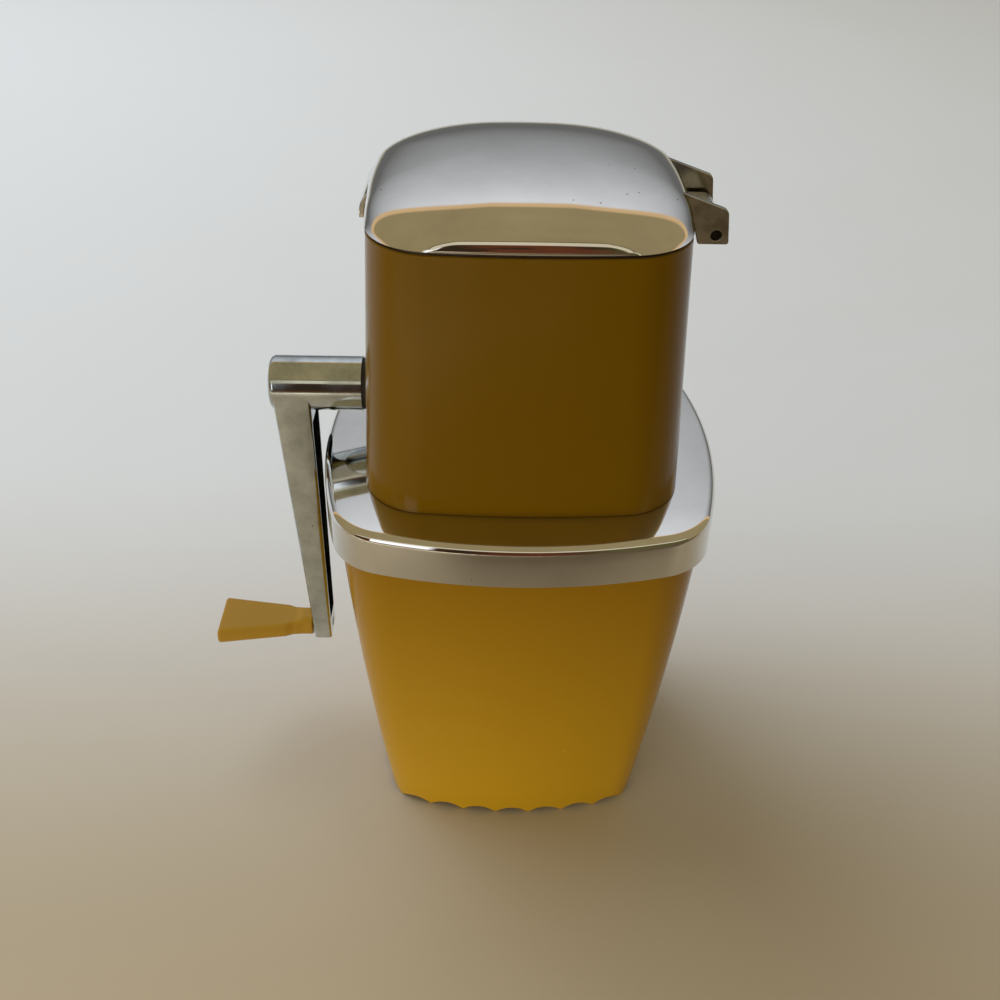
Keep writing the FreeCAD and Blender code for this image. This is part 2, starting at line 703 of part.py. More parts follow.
# Bushes: flanged sleeves in the frame's bosses, put in from the chamber
def make_bush(label, side, journal, end):
    body = new_body(label, z=SHAFT_Z)
    outside = f"{journal} + running_gap + bush_wall"
    start = "chamber_half - bush_flange"
    length = f"({end}) - chamber_half"
    if side > 0:
        flange_at, sleeve_at, all_at = start, "chamber_half", start
    else:
        flange_at, sleeve_at, all_at = "-chamber_half", f"-({end})", f"-({end})"
    pad(body, circle(body, f"{outside} + bush_flange_reach", role="YZ_Plane", offset=flange_at),
        "bush_flange")
    pad(body, circle(body, outside, role="YZ_Plane", offset=sleeve_at), length)
    pocket(body, circle(body, f"{journal} + running_gap", role="YZ_Plane", offset=all_at),
           f"{length} + bush_flange")
    return body


# Shaft: a square bar with a round journal at each end and a square drive end in the crank's hub
def make_drive_shaft():
    body = new_body("drive_shaft", z=SHAFT_Z)
    inner = "(chamber_half - bush_flange - end_play)"
    drive_end = f"({HUB_END} - hub_end_wall - end_play)"
    journal_end = f"({HUB_FACE} - washer_gap)"
    half_square = "square_side / 2"
    square = [(half_square, half_square), (f"-{half_square}", half_square),
              (f"-{half_square}", f"-{half_square}"), (half_square, f"-{half_square}")]
    clip_at = f"({REAR_BUSH_END} + end_play)"
    tail = f"({clip_at} + clip_thickness + shaft_tail)"
    pad(body, polygon(body, square, "YZ_Plane", f"-{drive_end}"), f"{drive_end} + {inner}")
    pad(body, circle(body, "front_journal", role="YZ_Plane", offset=f"-{journal_end}"),
        f"{journal_end} - {inner}")
    pad(body, circle(body, "rear_journal", role="YZ_Plane", offset=inner), f"{tail} - {inner}")
    groove = new_sketch(body, "YZ_Plane", clip_at)
    for index, radius in enumerate(("rear_journal + 1", "rear_journal - groove_depth")):
        groove.addGeometry(Part.Circle(FreeCAD.Vector(0, 0, 0), FreeCAD.Vector(0, 0, 1), value(radius)))
        hold(groove, radius, "Radius", index)
        groove.addConstraint(Sketcher.Constraint("Coincident", index, 3, -1, 1))
    pocket(body, groove, "clip_thickness + end_play")
    pocket(body, circle(body, "crank_screw_radius + pin_gap", role="YZ_Plane", offset=f"-{drive_end}"),
           "screw_bore_depth")
    return body


# Breakers: cast picks on the square shaft, each a quarter turn on from the last
def make_breaker(number):
    body = doc.addObject("PartDesign::Body", f"breaker_{number}")
    body.Label = f"breaker_{number}"
    step = number - (value("breaker_count") + 1) / 2
    turn = FreeCAD.Rotation(FreeCAD.Vector(1, 0, 0), 90 * (number - 1))
    body.Placement = FreeCAD.Placement(FreeCAD.Vector(0, 0, 0), turn)
    bind(body, "Placement.Base.x", f"breaker_pitch * ({step})")
    bind(body, "Placement.Base.z", SHAFT_Z)
    pad(body, circle(body, "breaker_eye", role="YZ_Plane"), "breaker_thickness", both_ways=True)
    pick = [("-breaker_root", "breaker_eye / 2"), ("breaker_root", "breaker_eye / 2"),
            ("breaker_point * 2", "breaker_shoulder"), ("breaker_point / 2", "breaker_tip"),
            ("-breaker_point / 2", "breaker_tip"), ("-breaker_point * 2", "breaker_shoulder")]
    finger = pad(body, polygon(body, pick, "YZ_Plane"), "breaker_thickness", both_ways=True)
    star = body.newObject("PartDesign::PolarPattern", f"breaker_{number}_star")
    star.Originals = [finger]
    star.Axis = (finger.Profile[0], ["N_Axis"])
    star.Angle = 360
    bind(star, "Occurrences", "finger_count")
    body.Tip = star
    doc.recompute()
    half = "(square_side / 2 + square_gap)"
    hole = [(half, half), (f"-{half}", half), (f"-{half}", f"-{half}"), (half, f"-{half}")]
    pocket(body, polygon(body, hole, "YZ_Plane"), "breaker_thickness * 2", both_ways=True)
    return body


# Spacers: plain collars with square holes that keep the breakers apart
def make_spacers():
    count = int(value("breaker_count"))
    outer = f"(breaker_pitch * {(count - 1) / 2} + breaker_thickness / 2)"
    end_length = f"(chamber_half - bush_flange - end_play - {outer})"
    middle_length = "(breaker_pitch - breaker_thickness)"
    spans = [(f"-{outer} - {end_length}", end_length), (outer, end_length)]
    for index in range(count - 1):
        spans.append((f"-{outer} + breaker_thickness + breaker_pitch * {index}", middle_length))
    spacers = []
    for index, (start, length) in enumerate(spans, start=1):
        disc = rod(f"spacer_{index}_disc", (start, "0", SHAFT_Z), (1, 0, 0), "spacer_radius", length)
        hole = doc.addObject("Part::Box", f"spacer_{index}_hole")
        side = "square_side + square_gap * 2"
        bind(hole, "Length", length)
        bind(hole, "Width", side)
        bind(hole, "Height", side)
        bind(hole, "Placement.Base.x", start)
        bind(hole, "Placement.Base.y", f"-({side}) / 2")
        bind(hole, "Placement.Base.z", f"{SHAFT_Z} - ({side}) / 2")
        spacers.append(cut(f"spacer_{index}", disc, hole))
    return group("breaker_spacers", spacers)


# Retaining clip: an open ring in the shaft's rear groove
def make_retaining_clip():
    body = new_body("retaining_clip", z=SHAFT_Z)
    start = f"{REAR_BUSH_END} + end_play * 1.5"
    outside = "rear_journal + clip_reach"
    inside = "rear_journal - groove_depth + pin_gap"
    pad(body, circle(body, outside, role="YZ_Plane", offset=start), "clip_thickness")
    pocket(body, circle(body, inside, role="YZ_Plane", offset=start), "clip_thickness")
    mouth = f"({inside}) * 0.8"
    slot = [(mouth, f"-({outside}) - 1"), (mouth, "0"), (f"-{mouth}", "0"), (f"-{mouth}", f"-({outside}) - 1")]
    pocket(body, polygon(body, slot, "YZ_Plane", start), "clip_thickness")
    return body


# Crank: one chromed casting, a round hub and a tapering arm with an open channel at its back
def make_crank():
    body = new_body("crank", z=SHAFT_Z)
    pad(body, circle(body, "hub_radius", role="YZ_Plane", offset=f"-{HUB_END}"), "hub_length")
    end_now = -value(HUB_END)
    round_edges(body, "hub_round", lambda edge: abs(edge.BoundBox.XMax - end_now) < 0.01)

    def depth_at(drop):
        return f"(arm_top_depth + (arm_foot_depth - arm_top_depth) * ({drop}) / arm_length)"

    def half_at(drop):
        return f"(arm_top_half + (arm_foot_half - arm_top_half) * ({drop}) / arm_length)"

    def bar(drop, inset="0"):
        """Draw the arm's round-edged section at a drop below the shaft, set in from its sides."""
        sketch = round_rectangle(body, f"({depth_at(drop)} / 2 - {inset})", f"({half_at(drop)} - {inset})",
                                 f"(arm_round - {inset})", offset=f"-({drop})")
        bind(sketch, "AttachmentOffset.Base.x", f"-({ARM_BACK} + {depth_at(drop)} / 2)")
        return sketch

    def channel(drop):
        """Draw the channel's section, open at the arm's back."""
        face = f"(-{ARM_BACK} - {depth_at(drop)} + arm_wall)"
        back = f"-{ARM_BACK}"
        side = f"({half_at(drop)} - arm_wall)"
        return polygon(body, [(face, f"-{side}"), (back, f"-{side}"), (back, side), (face, side)],
                       offset=f"-({drop})")

    loft(body, [bar("0"), bar("arm_length - arm_foot_edge")])
    loft(body, [bar("arm_length - arm_foot_edge"), bar("arm_length", "arm_foot_edge")])
    loft(body, [channel("channel_top"), channel("arm_length - channel_foot")], cuts=True)
    half = "(square_side / 2 + square_gap)"
    socket = [(half, half), (f"-{half}", half), (f"-{half}", f"-{half}"), (half, f"-{half}")]
    pocket(body, polygon(body, socket, "YZ_Plane", f"-({HUB_END} - hub_end_wall)"),
           "hub_length - hub_end_wall")
    pocket(body, circle(body, "crank_screw_radius + screw_gap", role="YZ_Plane", offset=f"-{HUB_END}"),
           "hub_end_wall")
    pocket(body, circle(body, "crank_screw_head + screw_gap", role="YZ_Plane", offset=f"-{HUB_END}"),
           "crank_head_recess")
    pocket(body, circle(body, "grip_pin_radius + pin_gap", v="-crank_radius", role="YZ_Plane",
                        offset=f"-{HUB_END}"), "hub_length")
    return body


# Grip: a flat moulded paddle that flares towards its end from a round-edged neck and turns on its rivet
def make_grip():
    body = new_body("grip", z=GRIP_Z)

    def section(reach, half, thick, corner):
        return round_rectangle(body, half, f"({thick}) / 2", corner, "YZ_Plane", f"-({GRIP_ROOT} + {reach})")

    neck = ("grip_neck_half", "grip_neck_thick", "grip_neck_round")
    shoulder = ("grip_shoulder_half", "grip_shoulder_thick", "grip_round")
    loft(body, [section("0", *neck), section("grip_neck", *neck)])
    loft(body, [section("grip_neck", *neck), section("grip_shoulder", *shoulder)])
    loft(body, [section("grip_shoulder", *shoulder),
                section("grip_length", "grip_end_half", "grip_end_thick", "grip_round")])
    end_now = -value(f"{GRIP_ROOT} + grip_length")
    round_edges(body, "grip_end_round", lambda edge: abs(edge.BoundBox.XMax - end_now) < 0.01)
    pocket(body, circle(body, "grip_pin_radius + running_gap", role="YZ_Plane",
                        offset=f"-({GRIP_ROOT} + grip_pin_depth)"), "grip_pin_depth")
    pocket(body, circle(body, "grip_pin_head + running_gap", role="YZ_Plane",
                        offset=f"-({GRIP_ROOT} + grip_pin_depth + grip_pin_head_height)"),
           "grip_pin_head_height + running_gap")
    return body


# Lid: a chromed dome with a finger tab at the front and two hinge lugs at the back
def make_lid():
    body = new_body("lid", z=LID_BASE)
    exponent = "(2 / lid_fullness)"

    def dome(inset, cuts):
        """Raise the dome through plans that turn from the housing's square towards a circle."""
        half_base = f"({LID_HALF} - ({inset}))"
        sections = [crowned_square(body, half_base, f"housing_bow - ({inset})",
                                   f"housing_corner - ({inset})")]
        for angle in (20, 45, 70):
            reach = f"({math.cos(math.radians(angle)):.6f} ^ {exponent})"
            rise = f"({math.sin(math.radians(angle)):.6f} ^ {exponent})"
            turned = f"((1 - {reach}) ^ lid_rounding)"
            bow = f"{reach} * ((housing_bow - ({inset})) * (1 - {turned}) + {half_base} * lid_crown_bow * {turned})"
            corner = (f"{reach} * ((housing_corner - ({inset})) * (1 - {turned})"
                      f" + {half_base} * lid_crown_corner * {turned})")
            sections.append(crowned_square(body, f"{half_base} * {reach}", bow, corner,
                                           offset=f"(lid_height - ({inset})) * {rise}"))
        apex = new_sketch(body, offset=f"lid_height - ({inset})")
        apex.addGeometry(Part.Point(FreeCAD.Vector(0, 0, 0)))
        apex.addConstraint(Sketcher.Constraint("Coincident", 0, 1, -1, 1))
        loft(body, sections + [apex], cuts=cuts, ruled=False)

    dome("0", cuts=False)
    inside = f"({LID_HALF} - lid_wall * 1.6)"
    front = f"({LID_HALF} + tab_stand_off)"
    bend = (f"-{front} - tab_thickness + tab_lean", "-tab_bend_drop")
    brow = (f"-{front} + tab_lean * 2", "tab_brow")
    tab = [(f"-{LID_HALF} + tab_reach", "tab_rise"), brow, bend, (f"-{front} - tab_thickness", "-tab_drop"),
           (f"-{front}", "-tab_drop"), (f"-{front} + tab_step", "-tab_step"), (f"-{LID_HALF} + tab_step", "0"),
           (f"-{inside}", "0")]
    pad(body, polygon(body, tab, "XZ_Plane"), "tab_half_width * 2", both_ways=True)
    bends = [FreeCAD.Vector(value(x), 0, value(z)) for x, z in (brow, bend)]
    round_edges(body, "tab_round", lambda edge: min(
        edge.BoundBox.Center.distanceToPoint(place) for place in bends) < 0.05)
    far = f"({PIN_X} + lug_reach)"
    low = f"(-pin_drop - lug_drop)"
    lug = [(f"{LID_HALF} - lug_root_reach", "lug_root"), (f"{far} - lug_slant", "-pin_drop + lug_shoulder"),
           (far, low), (f"{PIN_X} - lug_reach - lug_slant", low), (LID_HALF, "0"), (inside, "0")]
    for sign in (-1, 1):
        sketch = polygon(body, lug, "XZ_Plane", f"lug_spacing / 2 * {sign}")
        pad(body, sketch, "lug_thickness", both_ways=True)
    far_now = value(far)

    def outer_corner(edge):
        box = edge.BoundBox
        return box.XMin > far_now - 1.5 and box.ZMax - box.ZMin < 0.01 and abs(box.YLength) > 1.0 \
            and box.XLength < 0.01
    round_edges(body, "lug_round", outer_corner)
    dome("lid_wall", cuts=True)
    pocket(body, circle(body, "pin_radius + pin_gap", PIN_X, "-pin_drop", "XZ_Plane"),
           "lug_spacing * 2", both_ways=True)
    return body


# Hinge bracket: a strip rolled round the pin and riveted to the back of the housing
def make_hinge_bracket():
    body = new_body("bracket_strip")
    knuckle = "(pin_radius + pin_gap + knuckle_wall)"

    def wall_at(height):
        return (f"(housing_base_half + (housing_top_half - housing_base_half)"
                f" * ({height} - {DECK}) / housing_height)")

    top = f"({PIN_Z} + {knuckle})"
    bottom = f"({top} - bracket_height)"
    under = f"({top} - bracket_plate)"
    strip = [(f"{wall_at(bottom)} - 1", bottom), (f"{wall_at(bottom)} + bracket_plate", bottom),
             (f"{wall_at(under)} + bracket_plate", under), (PIN_X, under), (PIN_X, top),
             (f"{wall_at(top)} - 1", top)]
    pad(body, polygon(body, strip, "XZ_Plane"), "bracket_half_width * 2", both_ways=True)
    pad(body, circle(body, knuckle, PIN_X, PIN_Z, "XZ_Plane"), "bracket_half_width * 2", both_ways=True)
    pocket(body, circle(body, "pin_radius + pin_gap", PIN_X, PIN_Z, "XZ_Plane"),
           "bracket_half_width * 2 + 1", both_ways=True)
    for sign in (-1, 1):
        pocket(body, circle(body, "rivet_radius + rivet_gap", f"rivet_spacing / 2 * {sign}",
                            f"{PIN_Z} - rivet_drop", role="YZ_Plane", offset="housing_top_half - 3"), "8")
    outside = new_body("housing_outside", z=DECK)
    loft(outside, [housing_outline(outside, "0", "0"), housing_outline(outside, "housing_height", "0")])
    return cut("hinge_bracket", body, outside)


def make_hinge_rivets():
    height = value(f"{PIN_Z} - rivet_drop - {DECK}")
    taper = value("housing_base_half - housing_top_half")
    tall = value("housing_height")
    lean = math.atan2(taper, tall)
    outward = FreeCAD.Vector(math.cos(lean), 0, math.sin(lean))
    wall = value("housing_base_half") - taper * height / tall
    rivets = []
    for index, sign in enumerate((-1, 1), start=1):
        side = sign * value("rivet_spacing") / 2
        sag = side ** 2 / (2 * value("housing_bow"))
        on_wall = FreeCAD.Vector(wall - sag, side, value(DECK) + height)
        on_plate = on_wall + outward * (value("bracket_plate") + sag)
        inside = on_wall - outward * (value("housing_wall") + sag + value("rivet_gap"))
        rivet = doc.addObject("Part::Feature", f"rivet_{index}")
        head = Part.makeCylinder(value("rivet_head_radius"), value("rivet_head"), on_plate, outward)
        crown = head.Edges[[e.BoundBox.Center.x for e in head.Edges].index(
            max(e.BoundBox.Center.x for e in head.Edges))]
        head = head.makeFillet(value("rivet_head_round"), [crown])
        grip_length = (on_plate - inside).Length
        shank = Part.makeCylinder(value("rivet_radius"), grip_length, inside, outward)
        tail = Part.makeCylinder(value("rivet_tail_radius"), value("rivet_tail"), inside, outward * -1)
        rivet.Shape = head.fuse([shank, tail]).removeSplitter()
        rivets.append(rivet)
    return group("hinge_rivets", rivets)


def make_hinge_pin():
    half = "(lug_spacing / 2 + lug_thickness / 2 - pin_recess)"
    pin = rod("hinge_pin", (PIN_X, f"-{half}", PIN_Z), (0, 1, 0), "pin_radius", f"{half} * 2")
    pin.Label = "hinge_pin"
    return pin


# Fasteners
def make_frame_screws():
    screws = []
    for sign_x in (-1, 1):
        for sign_y in (-1, 1):
            start = (f"{SCREW_X} * {sign_x}", f"{SCREW_Y} * {sign_y}", CEILING)
            screws.append(screw(f"frame_screw_{len(screws) + 1}", start, (0, 0, 1),
                                "deck_thickness + flange_thickness"))
    return group("frame_screws", screws)


def make_hopper_screws():
    screws = []
    for sign_x in (-1, 1):
        for sign_y in (-1, 1):
            start = (f"{SCREW_X} * {sign_x}", f"{SCREW_Y} * {sign_y}", f"{THROAT} - flange_thickness")
            screws.append(screw(f"hopper_screw_{len(screws) + 1}", start, (0, 0, 1),
                                "flange_thickness + hopper_throat_lip"))
    return group("hopper_screws", screws)


def make_comb_screws():
    screws = []
    for sign_x in (-1, 1):
        for sign_y in (-1, 1):
            start = (f"comb_screw_spacing / 2 * {sign_x}", f"({CHAMBER_DEEP} + frame_wall) * {sign_y}",
                     SHAFT_Z)
            screws.append(screw(f"comb_screw_{len(screws) + 1}", start, (0, -sign_y, 0),
                                "frame_wall + comb_bar"))
    return group("comb_screws", screws)


def make_crank_screw():
    seat = f"-({HUB_END} - crank_head_recess)"
    made = screw("crank_screw", (seat, "0", SHAFT_Z), (1, 0, 0),
                 "hub_end_wall - crank_head_recess + screw_bore_depth - 1", shank="crank_screw_radius",
                 head="crank_screw_head", head_height="crank_head_height")
    made.Label = "crank_screw"
    return made


def make_thrust_washer():
    start = f"-({HUB_FACE})"
    disc = rod("washer_disc", (start, "0", SHAFT_Z), (1, 0, 0), "washer_radius", "washer_thickness")
    hole = rod("washer_hole", (start, "0", SHAFT_Z), (1, 0, 0), "front_journal + pin_gap", "washer_thickness")
    return cut("thrust_washer", disc, hole)


def make_grip_pin():
    head_face = f"-({GRIP_ROOT} + grip_pin_depth)"
    reach = f"({GRIP_ROOT} + grip_pin_depth - {ARM_BACK} - grip_pin_short)"
    made = screw("grip_pin", (head_face, "0", GRIP_Z), (1, 0, 0), reach, shank="grip_pin_radius",
                 head="grip_pin_head", head_height="grip_pin_head_height - 0.3")
    made.Label = "grip_pin"
    return made


def make_parts():
    """Build every sub-part, in the order in which the object goes together."""
    parts = [
        make_cup(),
        make_collar(),
        make_housing(),
        make_hopper(),
        make_crusher_frame(),
        make_comb("comb_coarse", -1, "coarse_tooth"),
        make_comb("comb_fine", 1, "fine_tooth"),
        make_bush("front_bush", -1, "front_journal", BUSH_END),
        make_bush("rear_bush", 1, "rear_journal", REAR_BUSH_END),
        make_frame_screws(),
        make_hopper_screws(),
        make_comb_screws(),
        make_hinge_bracket(),
        make_hinge_rivets(),
        make_lid(),
        make_hinge_pin(),
        make_drive_shaft(),
        make_spacers(),
        make_retaining_clip(),
        make_crank(),
        make_crank_screw(),
        make_thrust_washer(),
        make_grip_pin(),
        make_grip(),
    ]
    parts += [make_breaker(number) for number in range(1, int(value("breaker_count")) + 1)]
    return parts


def check_and_export(parts):
    """Stop on any failed object, then write each sub-part's shape."""
    doc.recompute()
    for thing in doc.Objects:
        if "Invalid" in thing.State or "Error" in thing.State:
            raise ValueError(f"{thing.Label} failed: {thing.State}")
    for part in parts:
        if part.Shape.isNull() or not part.Shape.isValid() or not part.Shape.Solids:
            raise ValueError(f"{part.Label} has no valid solid")
    os.makedirs("parts", exist_ok=True)
    for part in parts:
        part.Shape.exportStep(f"parts/{part.Label}.step")


check_and_export(make_parts())
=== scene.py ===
import bpy
import math
from mathutils import Matrix, Vector


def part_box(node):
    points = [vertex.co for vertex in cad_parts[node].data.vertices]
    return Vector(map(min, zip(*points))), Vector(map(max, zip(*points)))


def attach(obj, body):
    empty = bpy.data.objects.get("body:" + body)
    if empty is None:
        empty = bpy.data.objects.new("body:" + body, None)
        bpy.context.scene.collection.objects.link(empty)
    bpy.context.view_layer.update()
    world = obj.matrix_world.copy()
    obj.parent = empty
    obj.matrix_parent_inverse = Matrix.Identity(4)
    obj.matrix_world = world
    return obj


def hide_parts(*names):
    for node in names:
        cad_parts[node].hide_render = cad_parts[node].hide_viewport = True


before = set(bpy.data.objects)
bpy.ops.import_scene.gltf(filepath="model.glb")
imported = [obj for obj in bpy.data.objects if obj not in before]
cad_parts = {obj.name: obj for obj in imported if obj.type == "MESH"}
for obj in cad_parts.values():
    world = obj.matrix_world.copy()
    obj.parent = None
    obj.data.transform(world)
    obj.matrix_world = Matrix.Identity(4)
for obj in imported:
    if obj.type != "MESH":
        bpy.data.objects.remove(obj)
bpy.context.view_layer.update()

# The table: a cloth spread flat under the crusher, large enough to fill the view, with soft ridges from
# folding. Its colour is painted light: lighter and bluer behind, as under the window, dimmer and warmer
# in front, and painted shade nearest the viewer.
TABLE_HALF = 6.0
CLOTH_PAINTED_LIGHT = (0.78, 0.86, 1.0, 1)
CLOTH_PAINTED_DIM = (0.50, 0.445, 0.35, 1)
CLOTH_PAINTED_SHADE = (0.16, 0.13, 0.09, 1)
CLOTH_TURNS_FROM = -0.14
CLOTH_TURNS_TO = 0.20
CLOTH_PAINTED_SHADE_TO = -0.26
BESIDE_FROM, BESIDE_FULL, BESIDE_LEAST = -0.14, -0.03, 0.15
RIDGE_TURN, RIDGE_SQUEEZE = 0.7, 1.9
RIDGE_STRENGTH, RIDGE_DEPTH = 0.3, 0.02
FINE_DEPTH = 0.0002


def add_node(tree, kind, sockets=None, **options):
    """Add a shader node with options by name, and sockets given a value or linked to a node."""
    made = tree.nodes.new(kind)
    for name, option in options.items():
        setattr(made, name, option)
    for name, given in (sockets or {}).items():
        socket = made.inputs[name]
        if isinstance(given, bpy.types.NodeSocket):
            tree.links.new(given, socket)
        else:
            socket.default_value = given
    return made


def new_finish(name, sockets=None):
    """Start a material and return it with its tree, its shader and a place on the object in metres."""
    material = bpy.data.materials.new(name)
    material.use_nodes = True
    tree = material.node_tree
    shader = tree.nodes["Principled BSDF"]
    for socket, given in (sockets or {}).items():
        shader.inputs[socket].default_value = given
    place = add_node(tree, "ShaderNodeTexCoord").outputs["Object"]
    return material, tree, shader, place


def blended(tree, share, first, second):
    """Mix two colours by a mask."""
    mixed = add_node(tree, "ShaderNodeMix", {"Factor": share}, data_type="RGBA")
    for name, given in (("A", first), ("B", second)):
        socket = next(item for item in mixed.inputs if item.name == name and item.type == "RGBA")
        if isinstance(given, bpy.types.NodeSocket):
            tree.links.new(given, socket)
        else:
            socket.default_value = given
    return next(item for item in mixed.outputs if item.type == "RGBA")


def ranged(tree, mask, low, high, start=0.0, end=1.0, soft=False):
    """Stretch a mask, read from start to end, between two values."""
    spread = add_node(tree, "ShaderNodeMapRange", {"Value": mask, "From Min": start, "From Max": end,
                                                   "To Min": low, "To Max": high})
    if soft:
        spread.interpolation_type = "SMOOTHSTEP"
    return spread.outputs["Result"]


def rising(tree, mask, start, end, soft=False):
    """A mask that rises from none at start to all at end."""
    return ranged(tree, mask, 0.0, 1.0, start, end, soft)


def joined(tree, operation, first, second):
    """Join two masks, or a mask and a number."""
    made = add_node(tree, "ShaderNodeMath", {0: first, 1: second}, operation=operation)
    return made.outputs["Value"]


def relief(tree, shader, height, strength, depth=FINE_DEPTH):
    """Raise the surface by a height mask."""
    bump = add_node(tree, "ShaderNodeBump", {"Height": height, "Strength": strength, "Distance": depth})
    tree.links.new(bump.outputs["Normal"], shader.inputs["Normal"])


cloth, tree, shader, place = new_finish("table_cloth", {"Roughness": 0.9})
across = add_node(tree, "ShaderNodeSeparateXYZ", {"Vector": place})
# Painted light: the cloth is drawn lighter and bluer behind and dimmer and warmer in front.
painted_falloff = rising(tree, across.outputs["Y"], CLOTH_TURNS_TO, CLOTH_TURNS_FROM, soft=True)
# Painted shade: the cloth is drawn dark nearest the viewer, less so on the left.
cloth_shade_mask = rising(tree, across.outputs["Y"], CLOTH_TURNS_FROM, CLOTH_PAINTED_SHADE_TO, soft=True)
beside = ranged(tree, across.outputs["X"], BESIDE_LEAST, 1.0, BESIDE_FROM, BESIDE_FULL, soft=True)
cloth_shade_mask = joined(tree, "MULTIPLY", cloth_shade_mask, beside)
stretched = add_node(tree, "ShaderNodeMapping", {"Vector": place, "Rotation": (0, 0, RIDGE_TURN),
                                                 "Scale": (1.0, RIDGE_SQUEEZE, 1.0)})
ridges = add_node(tree, "ShaderNodeTexNoise", {"Vector": stretched.outputs["Vector"], "Scale": 3.0,
                                               "Detail": 2.0, "Distortion": 0.5})
tone = blended(tree, painted_falloff, CLOTH_PAINTED_LIGHT, CLOTH_PAINTED_DIM)
tree.links.new(blended(tree, cloth_shade_mask, tone, CLOTH_PAINTED_SHADE), shader.inputs["Base Color"])
relief(tree, shader, ridges.outputs["Fac"], RIDGE_STRENGTH, RIDGE_DEPTH)

bpy.ops.mesh.primitive_plane_add(size=2 * TABLE_HALF, location=(0, 0, 0))
table = bpy.context.object
table.name = "table"
table.data.materials.append(cloth)

# The view: the camera stands in front of the crusher and looks down at it, leaning a little to the
# right, as fitted to the object's outlines.
CAMERA_PLACE = Vector((-0.012661, -0.339884, 0.347431))
CAMERA_AHEAD = Vector((0.01571578, 0.81832263, -0.57454425))
CAMERA_RIGHT = Vector((0.99980925, -0.00619684, 0.01852211))
CAMERA_UP = Vector((-0.01159671, 0.57472574, 0.81826392))
CAMERA_LENS = 41.4
SENSOR_WIDTH = 36.0
NEAREST_SEEN = 0.01

camera = bpy.data.objects.new("camera", bpy.data.cameras.new("camera"))
camera.data.lens = CAMERA_LENS
camera.data.sensor_width = SENSOR_WIDTH
camera.data.clip_start = NEAREST_SEEN
turn = Matrix((CAMERA_RIGHT, CAMERA_UP, -CAMERA_AHEAD)).transposed()
camera.matrix_world = Matrix.Translation(CAMERA_PLACE) @ turn.to_4x4()
bpy.context.scene.collection.objects.link(camera)
bpy.context.scene.camera = camera

# The light: a room with a bright wall far behind the crusher, a warm band round that wall and dim
# khaki elsewhere, with one large soft window behind on the left and a low reflector in front.
WALL_LOW = (0.14, 0.14, 0.135, 1)
WALL_HIGH = (0.86, 0.88, 0.91, 1)
BAND_WARM = (0.74, 0.50, 0.26, 1)
ROOM_KHAKI = (0.38, 0.30, 0.155, 1)
ROOM_DEEP = (0.30, 0.235, 0.115, 1)
WALL_EDGE = 0.60
WALL_DIM_TO, WALL_BRIGHT_FROM = 0.1, 0.85
BAND_WIDTH = 0.10
BAND_FULL, BAND_END = WALL_EDGE - BAND_WIDTH * 0.7, WALL_EDGE - BAND_WIDTH * 0.4
WINDOW_AT, WINDOW_AIM = (-1.1, 0.9, 1.7), (0, 0.1, 0.0)
WINDOW_SIZE, WINDOW_POWER = (2.0, 1.6), 27.0
WINDOW_COLOUR = (0.97, 0.99, 1.0)
REFLECTOR_AT, REFLECTOR_AIM = (-0.25, -0.50, 0.02), (0, 0, 0.0)
REFLECTOR_SIZE, REFLECTOR_POWER = (0.8, 0.2), 2.7
REFLECTOR_COLOUR = (1.0, 0.95, 0.84)


def add_soft_light(name, place_at, aim, size, power, colour):
    """Hang a rectangular area light that faces a point and isn't mirrored in the chrome."""
    lamp = bpy.data.objects.new(name, bpy.data.lights.new(name, "AREA"))
    lamp.data.shape = "RECTANGLE"
    lamp.data.size, lamp.data.size_y = size
    lamp.data.energy = power
    lamp.data.color = colour
    lamp.location = place_at
    lamp.rotation_euler = (Vector(aim) - Vector(place_at)).to_track_quat("-Z", "Y").to_euler()
    lamp.visible_glossy = False
    bpy.context.scene.collection.objects.link(lamp)


add_soft_light("window", WINDOW_AT, WINDOW_AIM, WINDOW_SIZE, WINDOW_POWER, WINDOW_COLOUR)
add_soft_light("reflector", REFLECTOR_AT, REFLECTOR_AIM, REFLECTOR_SIZE, REFLECTOR_POWER,
               REFLECTOR_COLOUR)

world = bpy.data.worlds.new("room")
world.use_nodes = True
bpy.context.scene.world = world
tree = world.node_tree
direction = add_node(tree, "ShaderNodeTexCoord").outputs["Generated"]
parts_of = add_node(tree, "ShaderNodeSeparateXYZ", {"Vector": direction})
behind, above = parts_of.outputs["Y"], parts_of.outputs["Z"]
mottle = add_node(tree, "ShaderNodeTexNoise", {"Vector": direction, "Scale": 2.0, "Detail": 3.0})
khaki = blended(tree, mottle.outputs["Fac"], ROOM_KHAKI, ROOM_DEEP)
wall = blended(tree, rising(tree, above, WALL_DIM_TO, WALL_BRIGHT_FROM), WALL_LOW, WALL_HIGH)
band = blended(tree, rising(tree, behind, WALL_EDGE - BAND_WIDTH, BAND_FULL), khaki, BAND_WARM)
room = blended(tree, rising(tree, behind, BAND_END, WALL_EDGE, soft=True), band, wall)
tree.links.new(room, tree.nodes["Background"].inputs["Color"])

bpy.context.scene.view_settings.view_transform = "Standard"

